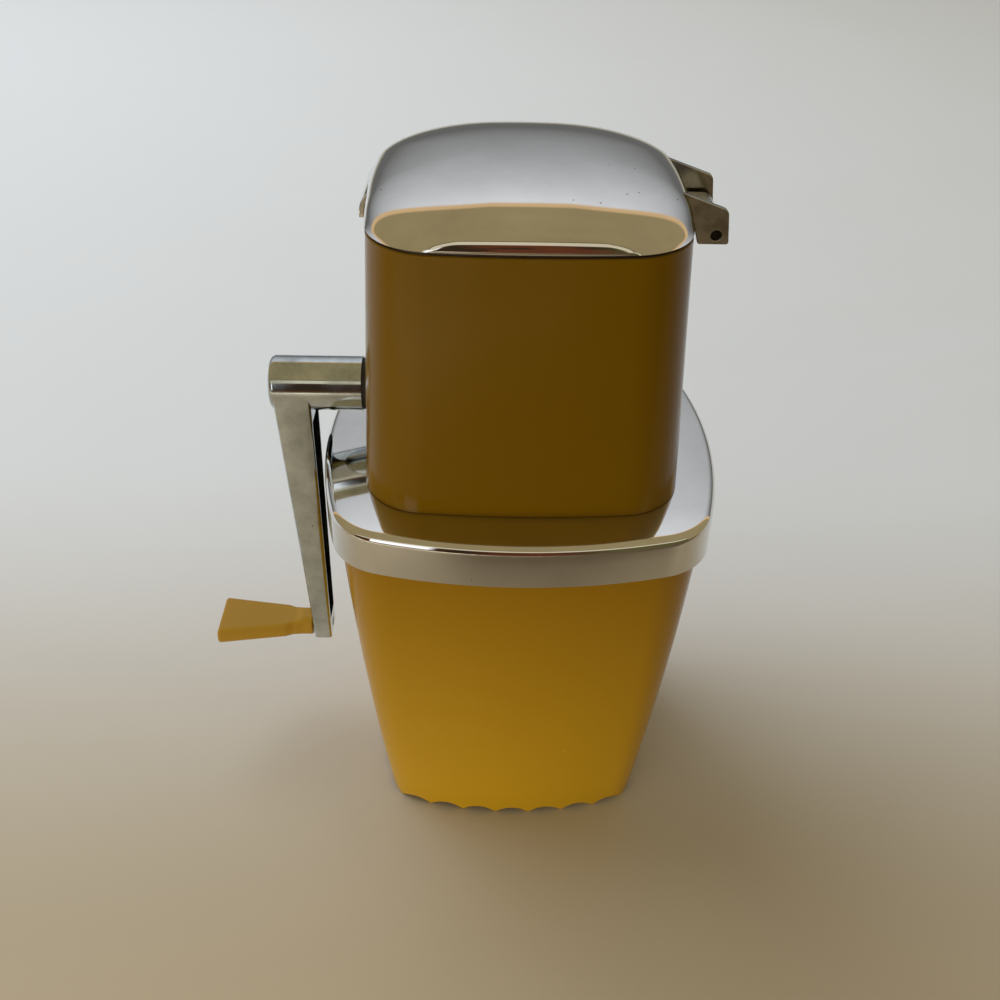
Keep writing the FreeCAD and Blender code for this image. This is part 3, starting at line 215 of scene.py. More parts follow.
# The screen: a board that stands in front and glows, dark and red with a white opening, then pale, with
# an olive top, as is used to give polished metal its dark lines. Its glow is painted reflection: only
# the reflections show it.
SCREEN_AT = -0.75
SCREEN_HALF = 1.6
SCREEN_TOP = 0.78
SCREEN_PATCH_EDGE, SCREEN_OLIVE_EDGE = (0.44, 0.56), (0.16, 0.34)
SCREEN_PALE_EDGE, SCREEN_TOP_EDGE = (0.48, 0.51), (0.71, 0.73)
OPENING_LEFT, OPENING_RIGHT, OPENING_LOW = (-0.64, -0.60), (-0.28, -0.25), (0.06, 0.10)
SCREEN_DARK = (0.035, 0.022, 0.012, 1)
SCREEN_RED = (0.13, 0.040, 0.018, 1)
SCREEN_OLIVE = (0.12, 0.10, 0.04, 1)
SCREEN_PALE = (0.72, 0.64, 0.46, 1)
SCREEN_WHITE = (1.4, 1.4, 1.4, 1)

screen_glow = bpy.data.materials.new("screen_glow")
screen_glow.use_nodes = True
tree = screen_glow.node_tree
tree.nodes.remove(tree.nodes["Principled BSDF"])
place = add_node(tree, "ShaderNodeTexCoord").outputs["Object"]
at = add_node(tree, "ShaderNodeSeparateXYZ", {"Vector": place})
patches = add_node(tree, "ShaderNodeTexNoise", {"Vector": place, "Scale": 4.5, "Detail": 4.0})
board = blended(tree, rising(tree, patches.outputs["Fac"], *SCREEN_PATCH_EDGE), SCREEN_DARK, SCREEN_RED)
board = blended(tree, rising(tree, at.outputs["X"], *SCREEN_OLIVE_EDGE), board, SCREEN_OLIVE)
left_edge = rising(tree, at.outputs["X"], *OPENING_LEFT)
right_edge = ranged(tree, at.outputs["X"], 1.0, 0.0, *OPENING_RIGHT)
low_edge = rising(tree, at.outputs["Z"], *OPENING_LOW)
opening = joined(tree, "MULTIPLY", joined(tree, "MULTIPLY", left_edge, right_edge), low_edge)
board = blended(tree, opening, board, SCREEN_WHITE)
board = blended(tree, rising(tree, at.outputs["Z"], *SCREEN_PALE_EDGE), board, SCREEN_PALE)
board = blended(tree, rising(tree, at.outputs["Z"], *SCREEN_TOP_EDGE), board, SCREEN_OLIVE)
# Painted reflection: the board glows in these colours for the chrome to mirror.
glow = add_node(tree, "ShaderNodeEmission", {"Color": board})
tree.links.new(glow.outputs["Emission"], tree.nodes["Material Output"].inputs["Surface"])

screen_mesh = bpy.data.meshes.new("screen")
screen_mesh.from_pydata([(-SCREEN_HALF, SCREEN_AT, 0.0), (SCREEN_HALF, SCREEN_AT, 0.0),
                         (SCREEN_HALF, SCREEN_AT, SCREEN_TOP), (-SCREEN_HALF, SCREEN_AT, SCREEN_TOP)],
                        [], [(0, 1, 2, 3)])
screen_mesh.materials.append(screen_glow)
screen = bpy.data.objects.new("screen", screen_mesh)
bpy.context.scene.collection.objects.link(screen)
screen.visible_camera = False
screen.visible_diffuse = False
screen.visible_shadow = False
screen.visible_transmission = False

# Cup: gold thermoset plastic, moulded glossy in one shot, with barrelled sides and a foot edge of
# small arches round a low ring. Its gold is drawn deeper under the rim as painted shade of the collar.
GOLD = (0.52, 0.30, 0.012, 1)
GOLD_DEEP = (0.45, 0.255, 0.008, 1)
GOLD_PAINTED_SHADE = (0.255, 0.128, 0.002, 1)
RIM_SHADE_FULL_AT, RIM_SHADE_GONE_AT = 0.128, 0.012
GRIME = (0.16, 0.10, 0.03, 1)
PLASTIC_PATCHES, PLASTIC_SCRATCHED, PLASTIC_GRIMED = 24.0, 0.10, 0.4
SCRATCH_SINKS = -0.6
PLAN_POINTS = 336
CUP_FOOT_HALF = 0.05076
CUP_HEEL = 0.008
CUP_HEEL_RINGS, CUP_SIDE_RINGS, CUP_INSIDE_RINGS = 7, 22, 16
CUP_BULGE = 0.0015
CUP_FOOT_BOW, CUP_RIM_BOW = 0.123, 0.202
CUP_FOOT_CORNER, CUP_RIM_CORNER = 0.0115, 0.0225
CUP_WALL = 0.0024
CUP_LIP = 0.0006
FOOT_DEPTH = 0.005
FLOOR = 0.0025
RING_HALF, RING_WIDE = 0.036, 0.0022
ARCHES = 28
ARCH_RISE, ARCH_LAND = 0.0027, 0.0008
ARCH_BAND = ARCH_RISE * 1.2
CREASE = math.radians(28)
HAZE_FROM, HAZE_FULL = 0.38, 0.75
SCRATCH_RUNS = ((0.5, 2600.0, 0.0), (-0.9, 1900.0, 3.1), (1.9, 3200.0, 7.7))
SCRATCH_LONG, SCRATCH_FROM, SCRATCH_FULL = 26.0, 0.72, 0.82
SPECK_EDGE, SPECK_HEART, SPECK_RARITY = 0.10, 0.04, 0.93


def crowned_plan(half, bow, corner, count=PLAN_POINTS):
    """Even places round a square with gently bowed sides and round corners, from the middle of +X."""
    drop = bow - half
    corner_at = (math.sqrt(2 * (bow - corner) ** 2 - drop ** 2) - drop) / 2
    spread = math.pi / 2 - math.atan2(corner_at + drop, corner_at)
    half_side = bow * spread
    quarter = 2 * half_side + corner * (math.pi / 2 - 2 * spread)
    places = []
    for index in range(count):
        turned, along = divmod(index * 4 * quarter / count + half_side, quarter)
        middle = turned * math.pi / 2
        if along < 2 * half_side:
            angle = middle - spread + along / bow
            centre, radius = (-drop * math.cos(middle), -drop * math.sin(middle)), bow
        else:
            angle = middle + spread + (along - 2 * half_side) / corner
            diagonal = middle + math.pi / 4
            reach = corner_at * math.sqrt(2)
            centre, radius = (reach * math.cos(diagonal), reach * math.sin(diagonal)), corner
        places.append((centre[0] + radius * math.cos(angle), centre[1] + radius * math.sin(angle)))
    return places


def ring(plan, height):
    """Lift a plan to a height."""
    return [(x, y, height) for x, y in plan]


def skin(name, rings, body, finish, closed=False, crease=CREASE):
    """Join rings of points in turn into one surface, closed round or capped at its ends."""
    count = len(rings[0])
    points = [point for one in rings for point in one]
    faces = []
    for row in range(len(rings) if closed else len(rings) - 1):
        low, high = row * count, (row + 1) % len(rings) * count
        for step in range(count):
            after = (step + 1) % count
            faces.append((low + step, low + after, high + after, high + step))
    if not closed:
        faces.append(tuple(reversed(range(count))))
        faces.append(tuple(range((len(rings) - 1) * count, len(rings) * count)))
    mesh = bpy.data.meshes.new(name)
    mesh.from_pydata(points, [], faces)
    mesh.shade_smooth()
    mesh.set_sharp_from_angle(angle=crease)
    return settle(name, mesh, body, finish)


def settle(name, mesh, body, finish):
    """Make a mesh a piece that rides on a body, with its finish."""
    mesh.materials.append(finish)
    piece = bpy.data.objects.new(name, mesh)
    bpy.context.scene.collection.objects.link(piece)
    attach(piece, body)
    return piece


def make_handling_wear():
    """Masks of rubbed haze, long fine scratches and small specks, by place on the object in metres."""
    group = bpy.data.node_groups.new("handling_wear", "ShaderNodeTree")
    face = group.interface
    face.new_socket("Place", in_out="INPUT", socket_type="NodeSocketVector")
    face.new_socket("Patch Size", in_out="INPUT", socket_type="NodeSocketFloat")
    for name in ("Haze", "Scratches", "Specks"):
        face.new_socket(name, in_out="OUTPUT", socket_type="NodeSocketFloat")
    given = add_node(group, "NodeGroupInput")
    out = add_node(group, "NodeGroupOutput")
    patches = add_node(group, "ShaderNodeTexNoise", {"Vector": given.outputs["Place"],
                                                     "Scale": given.outputs["Patch Size"],
                                                     "Detail": 6.0, "Roughness": 0.6})
    group.links.new(rising(group, patches.outputs["Fac"], HAZE_FROM, HAZE_FULL), out.inputs["Haze"])
    strokes = []
    for lean, fine, seed in SCRATCH_RUNS:
        turned = add_node(group, "ShaderNodeMapping", {"Vector": given.outputs["Place"],
                                                       "Location": (seed, seed, seed),
                                                       "Rotation": (lean, lean * 0.6, lean * 1.3),
                                                       "Scale": (fine, SCRATCH_LONG, fine)})
        streak = add_node(group, "ShaderNodeTexNoise", {"Vector": turned.outputs["Vector"],
                                                        "Scale": 1.0, "Detail": 1.0})
        strokes.append(rising(group, streak.outputs["Fac"], SCRATCH_FROM, SCRATCH_FULL))
    most = joined(group, "MAXIMUM", joined(group, "MAXIMUM", strokes[0], strokes[1]), strokes[2])
    group.links.new(most, out.inputs["Scratches"])
    dots = add_node(group, "ShaderNodeTexVoronoi", {"Vector": given.outputs["Place"], "Scale": 260.0,
                                                    "Randomness": 1.0})
    speck = rising(group, dots.outputs["Distance"], SPECK_EDGE, SPECK_HEART)
    chance = add_node(group, "ShaderNodeSeparateColor", {"Color": dots.outputs["Color"]})
    rare = joined(group, "GREATER_THAN", chance.outputs["Red"], SPECK_RARITY)
    group.links.new(joined(group, "MULTIPLY", speck, rare), out.inputs["Specks"])
    return group


handling_wear = make_handling_wear()


def worn_by(tree, place, patch_size):
    """Place the wear masks in a material."""
    wear = add_node(tree, "ShaderNodeGroup", node_tree=handling_wear)
    tree.links.new(place, wear.inputs["Place"])
    wear.inputs["Patch Size"].default_value = patch_size
    return wear


def moulded_plastic(name, colour, deep, smooth, rubbed, painted_shade_colour=None):
    """Glossy plastic with flow marks, rubs and specks, and painted shade at the top fading downwards if
    given.
    """
    material, tree, shader, place = new_finish(name, {"IOR": 1.46, "Specular IOR Level": 0.22})
    wear = worn_by(tree, place, PLASTIC_PATCHES)
    flow = add_node(tree, "ShaderNodeTexNoise", {"Vector": place, "Scale": 9.0, "Detail": 3.0,
                                                 "Distortion": 0.6})
    tone = blended(tree, flow.outputs["Fac"], colour, deep)
    if painted_shade_colour:
        # Painted shade: a deeper colour at the top, fading downwards.
        height = add_node(tree, "ShaderNodeSeparateXYZ", {"Vector": place}).outputs["Z"]
        tone = blended(tree, rising(tree, height, RIM_SHADE_GONE_AT, RIM_SHADE_FULL_AT), tone, painted_shade_colour)
    dusty = blended(tree, ranged(tree, wear.outputs["Specks"], 0.0, PLASTIC_GRIMED), tone, GRIME)
    tree.links.new(dusty, shader.inputs["Base Color"])
    rough = joined(tree, "ADD", ranged(tree, wear.outputs["Haze"], smooth, rubbed),
                   ranged(tree, wear.outputs["Scratches"], 0.0, PLASTIC_SCRATCHED))
    tree.links.new(rough, shader.inputs["Roughness"])
    peel = add_node(tree, "ShaderNodeTexNoise", {"Vector": place, "Scale": 420.0, "Detail": 2.0})
    height = joined(tree, "ADD", peel.outputs["Fac"],
                    ranged(tree, wear.outputs["Scratches"], 0.0, SCRATCH_SINKS))
    relief(tree, shader, height, strength=0.05)
    return material


gold_plastic = moulded_plastic("gold_plastic", GOLD, GOLD_DEEP, smooth=0.16, rubbed=0.30,
                               painted_shade_colour=GOLD_PAINTED_SHADE)
cup_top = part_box("cup")[1]
cup_height, cup_rim_half = cup_top[2], cup_top[0]


def cup_plan(height, inset=0.0):
    """The cup's plan at a height, set in from the outside."""
    share = height / cup_height
    half = CUP_FOOT_HALF + (cup_rim_half - CUP_FOOT_HALF) * share + CUP_BULGE * 4 * share * (1 - share)
    bow = CUP_FOOT_BOW + (CUP_RIM_BOW - CUP_FOOT_BOW) * share
    corner = CUP_FOOT_CORNER + (CUP_RIM_CORNER - CUP_FOOT_CORNER) * share
    return crowned_plan(half - inset, bow - inset, corner - inset)


def arch_heights():
    """How high the foot's edge stands at each place round the plan."""
    foot = cup_plan(0.0)
    around = sum(math.dist(foot[i], foot[i - 1]) for i in range(PLAN_POINTS))
    half_chord = (around / ARCHES - ARCH_LAND) / 2
    radius = (half_chord ** 2 + ARCH_RISE ** 2) / (2 * ARCH_RISE)
    heights = []
    for index in range(PLAN_POINTS):
        off = ((index / PLAN_POINTS * ARCHES + 0.5) % 1 - 0.5) * around / ARCHES
        inside = abs(off) < half_chord
        heights.append(math.sqrt(radius ** 2 - off ** 2) - radius + ARCH_RISE if inside else 0.0)
    return heights


def between(low_ring, high_ring, low, high, heights):
    """Points on the line between two rings at the heights given."""
    points = []
    for a, b, height in zip(low_ring, high_ring, heights):
        share = (height - low) / (high - low)
        points.append((a[0] + (b[0] - a[0]) * share, a[1] + (b[1] - a[1]) * share, height))
    return points


def spaced(first, last, count):
    """Even values from first to last."""
    return [first + (last - first) * step / (count - 1) for step in range(count)]


arches = arch_heights()
floor_top = FOOT_DEPTH + FLOOR
ring_in = crowned_plan(RING_HALF - RING_WIDE, CUP_FOOT_BOW - RING_WIDE, CUP_FOOT_CORNER - RING_WIDE)
ring_out = crowned_plan(RING_HALF, CUP_FOOT_BOW, CUP_FOOT_CORNER)
foot_in, pocket_in = cup_plan(0.0, CUP_WALL), cup_plan(FOOT_DEPTH, CUP_WALL)
edge_out, edge_top = cup_plan(0.0), cup_plan(ARCH_BAND)
lip_base = cup_height - CUP_LIP
cup_rings = [ring(ring_in, FOOT_DEPTH), ring(ring_in, 0.0),
             ring(ring_out, 0.0), ring(ring_out, FOOT_DEPTH),
             ring(pocket_in, FOOT_DEPTH), between(foot_in, pocket_in, 0.0, FOOT_DEPTH, arches),
             between(edge_out, edge_top, 0.0, ARCH_BAND, arches)]
side_heights = spaced(ARCH_BAND, CUP_HEEL, CUP_HEEL_RINGS)
side_heights += spaced(CUP_HEEL, lip_base, CUP_SIDE_RINGS)[1:]
cup_rings += [ring(cup_plan(height), height) for height in side_heights]
cup_rings += [ring(cup_plan(cup_height, inset), cup_height) for inset in (CUP_LIP, CUP_WALL - CUP_LIP)]
for height in spaced(lip_base, floor_top, CUP_INSIDE_RINGS):
    cup_rings.append(ring(cup_plan(height, CUP_WALL), height))
cup = skin("cup_moulding", cup_rings, "cup", gold_plastic)
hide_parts("cup")

# Collar: a die-cast ring, polished and chromed, whose skirt hangs over the cup's rim. Its deck falls
# a little and rolls over at the edge, and a rib under it centres the cup.
CHROME = (0.78, 0.78, 0.775, 1)
CHROME_DULL = (0.66, 0.655, 0.64, 1)
# Dark of pits in the plating, used also as painted shade at the hopper's flange.
PIT_AND_GAP_SHADE = (0.10, 0.085, 0.07, 1)
COLLAR_BOW, COLLAR_CORNER = 0.175, 0.021
COLLAR_WALL = 0.0022
COLLAR_ROLL = 0.003
COLLAR_ROLL_STEPS, COLLAR_SIDE_RINGS = 14, 4
DECK_THICK = 0.0056
DECK_FALL, DECK_RUN = 0.0014, 0.0118
DECK_LEAN = math.atan2(DECK_FALL, DECK_RUN)
SKIRT_EDGE = 0.0004
RIB_HEIGHT, RIB_THICK, RIB_GAP = 0.004, 0.002, 0.0011
CHAMBER_HALF_X, CHAMBER_HALF_Y, CHAMBER_CORNER = 0.035, 0.027, 0.002
HOUSING_BOW, HOUSING_CORNER = 0.350, 0.020


def bright_plating(name, colour, dull, smooth, rubbed, patch_size=30.0, scratched=0.08):
    """Polished plating with haze, scratches and pits."""
    material, tree, shader, place = new_finish(name, {"Metallic": 1.0})
    wear = worn_by(tree, place, patch_size)
    tone = blended(tree, wear.outputs["Haze"], colour, dull)
    pitted = blended(tree, wear.outputs["Specks"], tone, PIT_AND_GAP_SHADE)
    tree.links.new(pitted, shader.inputs["Base Color"])
    rough = joined(tree, "ADD", ranged(tree, wear.outputs["Haze"], smooth, rubbed),
                   ranged(tree, wear.outputs["Scratches"], 0.0, scratched))
    tree.links.new(rough, shader.inputs["Roughness"])
    ripple = add_node(tree, "ShaderNodeTexNoise", {"Vector": place, "Scale": 60.0, "Detail": 1.0})
    relief(tree, shader, ripple.outputs["Fac"], strength=0.03)
    return material


chrome = bright_plating("chrome", CHROME, CHROME_DULL, smooth=0.03, rubbed=0.09)
collar_low, collar_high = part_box("collar")
collar_half = collar_high[0]
deck = collar_high[2]
ceiling = deck - DECK_THICK
housing_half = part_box("housing")[1][0]


def collar_plan(inset=0.0):
    """The collar's plan, set in from the outside."""
    return crowned_plan(collar_half - inset, COLLAR_BOW - inset, COLLAR_CORNER - inset)


def oblong_plan(half_x, half_y, corner, count=PLAN_POINTS):
    """Even places round a rectangle with round corners, from the middle of +X."""
    side_x, side_y = 2 * (half_x - corner), 2 * (half_y - corner)
    bend = corner * math.pi / 2
    runs = [("up", side_y / 2), ("bend", bend), ("left", side_x), ("bend", bend), ("down", side_y),
            ("bend", bend), ("right", side_x), ("bend", bend), ("up", side_y / 2)]
    around = sum(length for _, length in runs)
    places = []
    for index in range(count):
        along, at, heading = index * around / count, Vector((half_x, 0.0)), math.pi / 2
        for kind, length in runs:
            step = min(along, length)
            ahead = Vector((math.cos(heading), math.sin(heading)))
            side = Vector((-ahead.y, ahead.x))
            if kind == "bend":
                angle = step / corner
                at = at + ahead * corner * math.sin(angle) + side * corner * (1 - math.cos(angle))
                heading += angle
            else:
                at = at + ahead * step
            along -= step
            if along <= 0:
                break
        places.append((at.x, at.y))
    return places


rib_half = cup_rim_half - CUP_WALL - RIB_GAP
rib_bow, rib_corner = CUP_RIM_BOW - CUP_WALL, CUP_RIM_CORNER - CUP_WALL
rib_out = crowned_plan(rib_half, rib_bow, rib_corner)
rib_in = crowned_plan(rib_half - RIB_THICK, rib_bow - RIB_THICK, rib_corner - RIB_THICK)
chamber = oblong_plan(CHAMBER_HALF_X, CHAMBER_HALF_Y, CHAMBER_CORNER)
housing_foot = crowned_plan(housing_half, HOUSING_BOW, HOUSING_CORNER)
collar_rings = [ring(collar_plan(SKIRT_EDGE), collar_low[2])]
roll_top = deck - DECK_FALL
for height in spaced(collar_low[2] + SKIRT_EDGE, roll_top - COLLAR_ROLL, COLLAR_SIDE_RINGS):
    collar_rings.append(ring(collar_plan(), height))
for step in range(1, COLLAR_ROLL_STEPS + 1):
    lean = (math.pi / 2 - DECK_LEAN) * step / COLLAR_ROLL_STEPS
    collar_rings.append(ring(collar_plan(COLLAR_ROLL * (1 - math.cos(lean))),
                             roll_top - COLLAR_ROLL * (1 - math.sin(lean))))
collar_rings += [ring(housing_foot, deck), ring(chamber, deck),
                 ring(chamber, ceiling), ring(rib_in, ceiling), ring(rib_in, ceiling - RIB_HEIGHT),
                 ring(rib_out, ceiling - RIB_HEIGHT), ring(rib_out, ceiling),
                 ring(collar_plan(COLLAR_WALL), ceiling), ring(collar_plan(COLLAR_WALL), collar_low[2])]
collar = skin("collar_casting", collar_rings, "head", chrome, closed=True)
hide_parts("collar")

# Housing: the same gold plastic, drawn darker than the cup as painted shade, a tapered box with thin
# walls that carries the hopper and the lid's hinge.
HOUSING_GOLD_PAINTED_SHADE = (0.162, 0.085, 0.0004, 1)
HOUSING_GOLD_DEEP_PAINTED_SHADE = (0.138, 0.071, 0.0002, 1)
HOUSING_TOP_HALF = 0.048
HOUSING_WALL = 0.002
HOUSING_EDGE = 0.0003
HOUSING_RINGS, HOUSING_INSIDE_RINGS = 12, 6
# Painted shade: a darker copy of the cup's gold plastic.
housing_plastic = moulded_plastic("gold_plastic_dark", HOUSING_GOLD_PAINTED_SHADE, HOUSING_GOLD_DEEP_PAINTED_SHADE, smooth=0.14,
                                  rubbed=0.26)
housing_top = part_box("housing")[1][2]


def housing_ring(height, inset=0.0):
    """The housing's outline at a height, set in from the outside."""
    share = (height - deck) / (housing_top - deck)
    half = housing_half + (HOUSING_TOP_HALF - housing_half) * share - inset
    return ring(crowned_plan(half, HOUSING_BOW - inset, HOUSING_CORNER - inset), height)


housing_rings = [housing_ring(deck, HOUSING_EDGE)]
housing_rings += [housing_ring(height) for height in
                  spaced(deck + HOUSING_EDGE, housing_top - HOUSING_EDGE, HOUSING_RINGS)]
housing_rings += [housing_ring(housing_top, HOUSING_EDGE)]
housing_rings += [housing_ring(height, HOUSING_WALL) for height in
                  spaced(housing_top, deck, HOUSING_INSIDE_RINGS)]
housing = skin("housing_moulding", housing_rings, "head", housing_plastic,
               closed=True)
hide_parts("housing")

# Lid: a chromed dome that turns from the housing's square towards a round crown, with a curved
# lifting tab towards the crank and two hinge lugs on the other side.
LID_HALF = 0.0484
LID_HEIGHT = 0.0142
LID_WALL = 0.0018
LID_EDGE = 0.0003
LID_FULLNESS = 2.35
LID_ROUNDING = 0.2
LID_CROWN_BOW, LID_CROWN_CORNER = 1.08, 0.9
LID_STEPS, LID_STEP_POWER = 40, 1.25
LID_CREASE = math.radians(40)
LID_FITTING, LID_FITTING_DARK = (0.52, 0.50, 0.45, 1), (0.22, 0.20, 0.16, 1)
LID_GAP = 0.001
TAB_HALF_WIDTH = 0.0115
TAB_THICK, TAB_STAND_OFF = 0.0015, 0.00035
TAB_DROP, TAB_RISE, TAB_BROW, TAB_REACH, TAB_ROUND = 0.0043, 0.0059, 0.0024, 0.0038, 0.0056
TAB_LEAN, TAB_BEND_DROP, TAB_STEP = 0.00015, 0.0007, 0.00045
TAB_HUG, TAB_BITE = 0.0008, 0.0030
HUG_RISE, BITE_RISE = 0.0002, 0.0010
PIN_STAND_OFF, PIN_DROP, PIN_HOLE = 0.0079, 0.0065, 0.00165
LUG_SPACING, LUG_THICK = 0.0298, 0.0020
LUG_REACH, LUG_DROP, LUG_SHOULDER = 0.0041, 0.0028, 0.0077
LUG_ROOT, LUG_ROOT_REACH, LUG_SLANT, LUG_ROUND = 0.0069, 0.0054, 0.0011, 0.0022
LUG_HUG, LUG_BITE, LUG_CORNER = 0.0004, 0.0050, 0.0008
HOLE_POINTS = 32
PLATE_BEVEL = 0.00025
lid_base = housing_top + LID_GAP
lid_fitting = bright_plating("lid_fitting", LID_FITTING, LID_FITTING_DARK, smooth=0.12, rubbed=0.30,
                             patch_size=140.0)


def dome_ring(angle, inset=0.0):
    """One ring of the dome, at an angle up from its base."""
    half = LID_HALF - inset
    reach = max(math.cos(angle), 0.0) ** (2 / LID_FULLNESS)
    rise = math.sin(angle) ** (2 / LID_FULLNESS)
    turned = (1 - reach) ** LID_ROUNDING
    bow = reach * ((HOUSING_BOW - inset) * (1 - turned) + half * LID_CROWN_BOW * turned)
    corner = reach * ((HOUSING_CORNER - inset) * (1 - turned) + half * LID_CROWN_CORNER * turned)
    return ring(crowned_plan(half * reach, bow, corner), lid_base + (LID_HEIGHT - inset) * rise)


angles = [math.pi / 2 * (step / LID_STEPS) ** LID_STEP_POWER for step in range(LID_STEPS)]
lid_rings = [dome_ring(angle, LID_WALL) for angle in reversed(angles)]
lid_rings.append(ring(crowned_plan(LID_HALF - LID_EDGE, HOUSING_BOW, HOUSING_CORNER), lid_base))
lid_rings += [dome_ring(angle) for angle in angles[1:]]
lid = skin("lid_dome", lid_rings, "lid", chrome, crease=LID_CREASE)


def rounded(outline, radii, steps=10):
    """Round an outline's corners, given as index to radius, with arcs."""
    points = []
    count = len(outline)
    for index, corner in enumerate(outline):
        radius = radii.get(index, 0.0)
        here = Vector(corner)
        if not radius:
            points.append(here)
            continue
        before = (Vector(outline[index - 1]) - here).normalized()
        after = (Vector(outline[(index + 1) % count]) - here).normalized()
        half_angle = before.angle(after) / 2
        middle = here + (before + after).normalized() * radius / math.sin(half_angle)
        start = here + before * radius / math.tan(half_angle)
        end = here + after * radius / math.tan(half_angle)
        sweep = (start - middle).angle_signed(end - middle)
        for step in range(steps + 1):
            spoke = start - middle
            spoke.rotate(Matrix.Rotation(-sweep * step / steps, 2))
            points.append(middle + spoke)
    return points


def plate(name, outline, thickness, middle, body, finish, hole=None):
    """Cut a bevelled plate to an outline in X and Z, its middle at a Y, with a round hole if given."""
    curve = bpy.data.curves.new(name, "CURVE")
    curve.dimensions = "2D"
    curve.fill_mode = "BOTH"
    curve.extrude = thickness / 2 - PLATE_BEVEL
    curve.bevel_depth = PLATE_BEVEL
    curve.bevel_resolution = 2
    curve.offset = -PLATE_BEVEL
    loops = [outline]
    if hole:
        u, v, radius = hole
        loops.append([Vector((u + radius * math.cos(turn), v + radius * math.sin(turn)))
                      for turn in spaced(0.0, 2 * math.pi, HOLE_POINTS + 1)[:-1]])
    for loop in loops:
        spline = curve.splines.new("POLY")
        spline.points.add(len(loop) - 1)
        for point, at in zip(spline.points, loop):
            point.co = (at[0], at[1], 0.0, 1.0)
        spline.use_cyclic_u = True
    holder = bpy.data.objects.new(name, curve)
    mesh = bpy.data.meshes.new_from_object(holder)
    bpy.data.objects.remove(holder)
    mesh.transform(Matrix.Translation((0, middle, 0)) @ Matrix.Rotation(math.pi / 2, 4, "X"))
    mesh.materials.clear()
    mesh.shade_smooth()
    mesh.set_sharp_from_angle(angle=LID_CREASE)
    return settle(name, mesh, body, finish)


tab_face = -(LID_HALF + TAB_STAND_OFF)
tab_outline = [(-LID_HALF + TAB_REACH, lid_base + TAB_RISE),
               (tab_face + 2 * TAB_LEAN, lid_base + TAB_BROW),
               (tab_face - TAB_THICK + TAB_LEAN, lid_base - TAB_BEND_DROP),
               (tab_face - TAB_THICK, lid_base - TAB_DROP),
               (tab_face, lid_base - TAB_DROP),
               (tab_face + TAB_STEP, lid_base - TAB_STEP),
               (-LID_HALF + TAB_HUG, lid_base + HUG_RISE),
               (-LID_HALF + TAB_BITE, lid_base + BITE_RISE)]
plate("lid_tab", rounded(tab_outline, {1: TAB_ROUND, 2: TAB_ROUND}), 2 * TAB_HALF_WIDTH, 0.0,
      "lid", chrome)

pin_x, pin_z = HOUSING_TOP_HALF + PIN_STAND_OFF, lid_base - PIN_DROP
lug_far, lug_low = pin_x + LUG_REACH, pin_z - LUG_DROP
lug_outline = rounded([(LID_HALF - LUG_ROOT_REACH, lid_base + LUG_ROOT),
                       (lug_far - LUG_SLANT, pin_z + LUG_SHOULDER),
                       (lug_far, lug_low),
                       (pin_x - LUG_REACH - LUG_SLANT, lug_low),
                       (LID_HALF - LUG_HUG, lid_base + HUG_RISE),
                       (LID_HALF - LUG_BITE, lid_base + BITE_RISE)],
                      {1: LUG_ROUND, 2: LUG_CORNER, 3: LUG_CORNER})
for number, side in ((1, -1), (2, 1)):
    plate(f"lid_lug_{number}", lug_outline, LUG_THICK, side * LUG_SPACING / 2,
          "lid", lid_fitting, hole=(pin_x, pin_z, PIN_HOLE))
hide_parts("lid")

# Crank: one die casting, chromed like the collar but handled more, so its flat arm is stained and
# hazy. Its node is the casting as made, with its channel and sockets.
CRANK_CHROME = (0.66, 0.72, 0.76, 1)
CRANK_STAIN = (0.38, 0.42, 0.43, 1)


def dress(material, *names):
    """Give CAD nodes a finish."""
    for name in names:
        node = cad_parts[name]
        node.data.materials.clear()
        node.data.materials.append(material)


crank_chrome = bright_plating("crank_chrome", CRANK_CHROME, CRANK_STAIN, smooth=0.06, rubbed=0.22,
                              patch_size=85.0, scratched=0.14)
dress(crank_chrome, "crank")

# Grip: gold plastic, moulded as a round-edged neck that turns on its pin and flares to a flat paddle.
# A station is a distance from the root, half width, half thickness and corner, in millimetres.
GRIP_GOLD = (0.40, 0.235, 0.028, 1)
GRIP_GOLD_DEEP = (0.33, 0.19, 0.018, 1)
GRIP_STATIONS = ((0.0, 5.4, 3.9, 3.4), (3.6, 5.4, 3.9, 3.4), (7.0, 6.1, 3.1, 2.7),
                 (11.0, 7.4, 3.0, 2.4), (35.6, 11.2, 3.1, 2.4))
GRIP_END = GRIP_STATIONS[-1][0]
GRIP_END_ROUND, GRIP_END_STEPS = 1.2, 8
GRIP_ROOT_EDGE = 0.4
GRIP_NECK_RINGS = (0.8, 12.0, 16)
GRIP_PADDLE_RINGS = (13.0, GRIP_END - GRIP_END_ROUND, 10)
GRIP_POINTS = 96
GRIP_CREASE = math.radians(50)
MILLIMETRE = 0.001
grip_low, grip_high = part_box("grip")
grip_root = grip_high[0]
grip_mid = (grip_low[2] + grip_high[2]) / 2
grip_plastic = moulded_plastic("gold_plastic_grip", GRIP_GOLD, GRIP_GOLD_DEEP, smooth=0.12, rubbed=0.24)


def grip_section(reach):
    """Half width, half thickness and corner radius of the grip at a distance from its root."""
    for start, end in zip(GRIP_STATIONS, GRIP_STATIONS[1:]):
        if reach <= end[0]:
            share = (reach - start[0]) / (end[0] - start[0])
            if end is not GRIP_STATIONS[-1]:
                share = share * share * (3 - 2 * share)
            return [a + (b - a) * share for a, b in zip(start[1:], end[1:])]
    return list(GRIP_STATIONS[-1][1:])


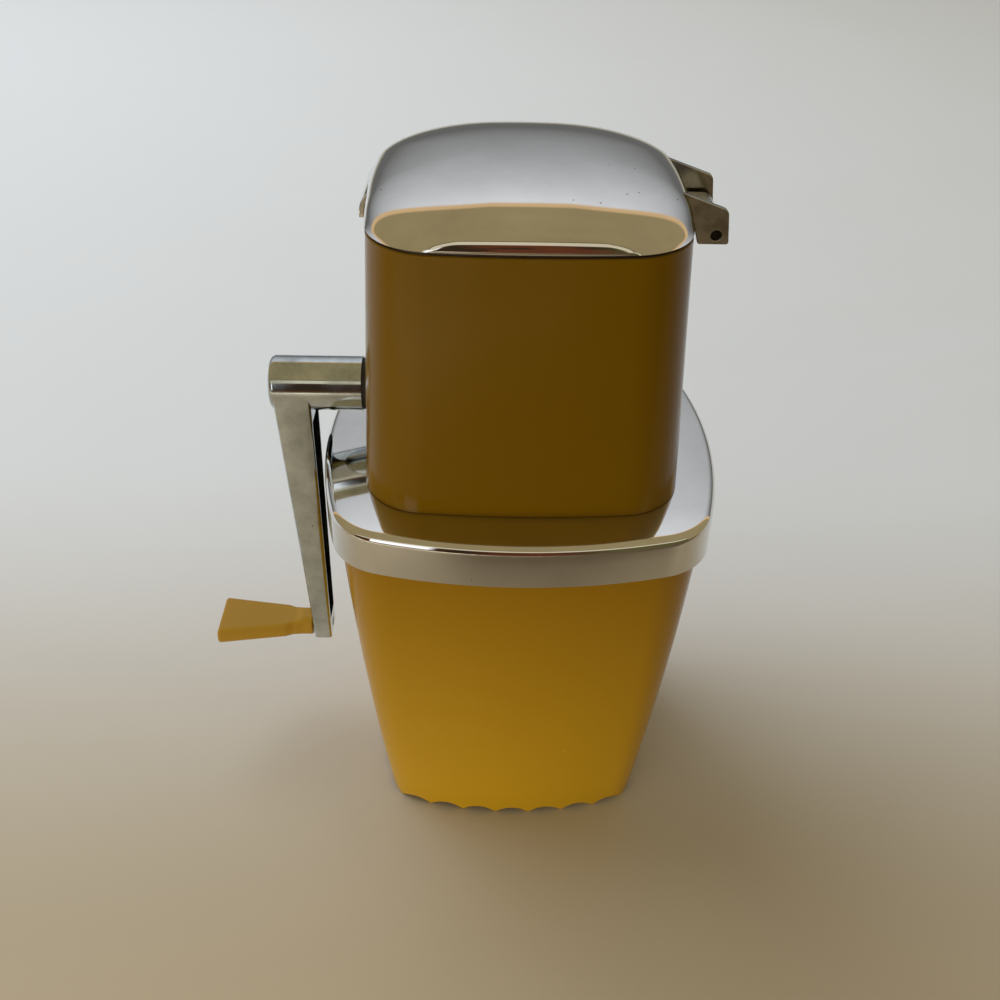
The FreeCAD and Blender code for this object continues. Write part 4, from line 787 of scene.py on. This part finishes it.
def grip_ring(reach, inset=0.0):
    """One ring round the grip, set in from its sides."""
    half, thick, corner = [(size - inset) * MILLIMETRE for size in grip_section(reach)]
    return [(grip_root - reach * MILLIMETRE, u, grip_mid + v)
            for u, v in oblong_plan(half, thick, corner, GRIP_POINTS)]


grip_rings = [grip_ring(0.0, GRIP_ROOT_EDGE), grip_ring(GRIP_ROOT_EDGE)]
grip_rings += [grip_ring(reach) for reach in spaced(*GRIP_NECK_RINGS) + spaced(*GRIP_PADDLE_RINGS)]
for lean in spaced(0.0, math.pi / 2, GRIP_END_STEPS)[1:]:
    grip_rings.append(grip_ring(GRIP_END - GRIP_END_ROUND * (1 - math.sin(lean)),
                                GRIP_END_ROUND * (1 - math.cos(lean))))
grip = skin("grip_moulding", grip_rings, "grip", grip_plastic,
            crease=GRIP_CREASE)
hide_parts("grip")

# Hopper: a funnel of spun aluminium sheet, left satin, with the fine rings that the spinning tool left.
# It hangs from the housing's rim by its flange, above the frame. The flange's edge, in the gap under
# the lid, is drawn black as painted shade.
ALUMINIUM = (0.66, 0.66, 0.65, 1)
ALUMINIUM_DARK = (0.50, 0.50, 0.49, 1)
SPUN_SMOOTH, SPUN_RUBBED, SPUN_RINGED = 0.26, 0.40, 0.06
SPUN_PATCHES = 30.0
GAP_SHADE_BELOW_RIM, GAP_SHADE_ABOVE_RIM = 0.0003, 0.0001


def spun_sheet(name, colour, dull):
    """Satin aluminium with rings round the Z axis, and painted shade at the housing's rim."""
    material, tree, shader, place = new_finish(name, {"Metallic": 1.0})
    wear = worn_by(tree, place, SPUN_PATCHES)
    rings = add_node(tree, "ShaderNodeTexWave", {"Vector": place, "Scale": 260.0, "Distortion": 1.5,
                                                 "Detail": 2.0}, bands_direction="Z").outputs["Fac"]
    height = add_node(tree, "ShaderNodeSeparateXYZ", {"Vector": place}).outputs["Z"]
    # Painted shade: the flange's edge in the gap under the lid is drawn near black.
    gap_shade = rising(tree, height, housing_top - GAP_SHADE_BELOW_RIM, housing_top + GAP_SHADE_ABOVE_RIM)
    tone = blended(tree, wear.outputs["Haze"], colour, dull)
    tree.links.new(blended(tree, gap_shade, tone, PIT_AND_GAP_SHADE), shader.inputs["Base Color"])
    rough = joined(tree, "ADD", ranged(tree, wear.outputs["Haze"], SPUN_SMOOTH, SPUN_RUBBED),
                   ranged(tree, rings, 0.0, SPUN_RINGED))
    tree.links.new(rough, shader.inputs["Roughness"])
    relief(tree, shader, rings, strength=0.15)
    return material


dress(spun_sheet("hopper_aluminium", ALUMINIUM, ALUMINIUM_DARK), "hopper")

# Frame and combs: aluminium castings with the grain of the mould on every face. The combs are screwed
# to the frame's walls, and the frame to the collar's deck.
CAST = (0.52, 0.52, 0.51, 1)
CAST_DARK = (0.34, 0.34, 0.33, 1)
CAST_GRAIN_FROM, CAST_GRAIN_FULL = 0.6, 0.35
CAST_SMOOTH, CAST_ROUGH = 0.42, 0.60
CAST_DEPTH = 0.0003


def cast_metal(name, colour, dark):
    """Grainy cast metal, darker in its pores."""
    material, tree, shader, place = new_finish(name, {"Metallic": 1.0})
    grain = add_node(tree, "ShaderNodeTexNoise", {"Vector": place, "Scale": 900.0, "Detail": 4.0})
    cloud = add_node(tree, "ShaderNodeTexNoise", {"Vector": place, "Scale": 40.0, "Detail": 3.0})
    pores = rising(tree, grain.outputs["Fac"], CAST_GRAIN_FROM, CAST_GRAIN_FULL)
    tree.links.new(blended(tree, pores, colour, dark), shader.inputs["Base Color"])
    rough = ranged(tree, cloud.outputs["Fac"], CAST_SMOOTH, CAST_ROUGH)
    tree.links.new(rough, shader.inputs["Roughness"])
    relief(tree, shader, grain.outputs["Fac"], strength=0.5, depth=CAST_DEPTH)
    return material


dress(cast_metal("cast_aluminium", CAST, CAST_DARK), "crusher_frame", "comb_coarse", "comb_fine")

# Shaft, breakers, screws, grip pin and hinge strip: steel, zinc plated, with a faint yellow bloom. The
# breakers sit on the shaft's square, and the strip is riveted to the housing.
ZINC = (0.56, 0.56, 0.53, 1)
ZINC_BLOOM = (0.44, 0.41, 0.33, 1)
plated_steel = bright_plating("plated_steel", ZINC, ZINC_BLOOM, smooth=0.20, rubbed=0.38,
                              patch_size=70.0, scratched=0.12)
dress(plated_steel, "drive_shaft", "breaker_spacers", "retaining_clip", "crank_screw", "grip_pin",
      "hinge_bracket", "hinge_rivets", "frame_screws", "hopper_screws", "comb_screws",
      *[f"breaker_{number}" for number in range(1, 6)])

# Hinge pin: plain steel, drawn near black in the lugs' holes. The hinge strip is rolled round it
# between the lugs.
PIN_STEEL = (0.05, 0.045, 0.04, 1)
PIN_DARKER = (0.015, 0.012, 0.01, 1)
dress(bright_plating("pin_steel", PIN_STEEL, PIN_DARKER, smooth=0.35, rubbed=0.60, patch_size=300.0),
      "hinge_pin")

# Bushes: sintered bronze, dark with the oil in its pores. They are flanged sleeves, put into the
# frame's bosses from inside.
BRONZE = (0.50, 0.34, 0.16, 1)
BRONZE_DARK = (0.26, 0.17, 0.08, 1)
dress(cast_metal("bush_brass", BRONZE, BRONZE_DARK), "front_bush", "rear_bush")

# Thrust washer: black vulcanised fibre, cut from sheet and slipped on the shaft between the front
# bush and the crank's hub.
FIBRE = (0.012, 0.010, 0.009, 1)
FIBRE_WORN = (0.035, 0.030, 0.026, 1)
FIBRE_SMOOTH, FIBRE_ROUGH = 0.55, 0.75
fibre, tree, shader, place = new_finish("washer_rubber", {"IOR": 1.5})
strands = add_node(tree, "ShaderNodeTexNoise", {"Vector": place, "Scale": 700.0, "Detail": 3.0})
tree.links.new(blended(tree, strands.outputs["Fac"], FIBRE, FIBRE_WORN), shader.inputs["Base Color"])
fibre_rough = ranged(tree, strands.outputs["Fac"], FIBRE_SMOOTH, FIBRE_ROUGH)
tree.links.new(fibre_rough, shader.inputs["Roughness"])
relief(tree, shader, strands.outputs["Fac"], strength=0.3)
dress(fibre, "thrust_washer")
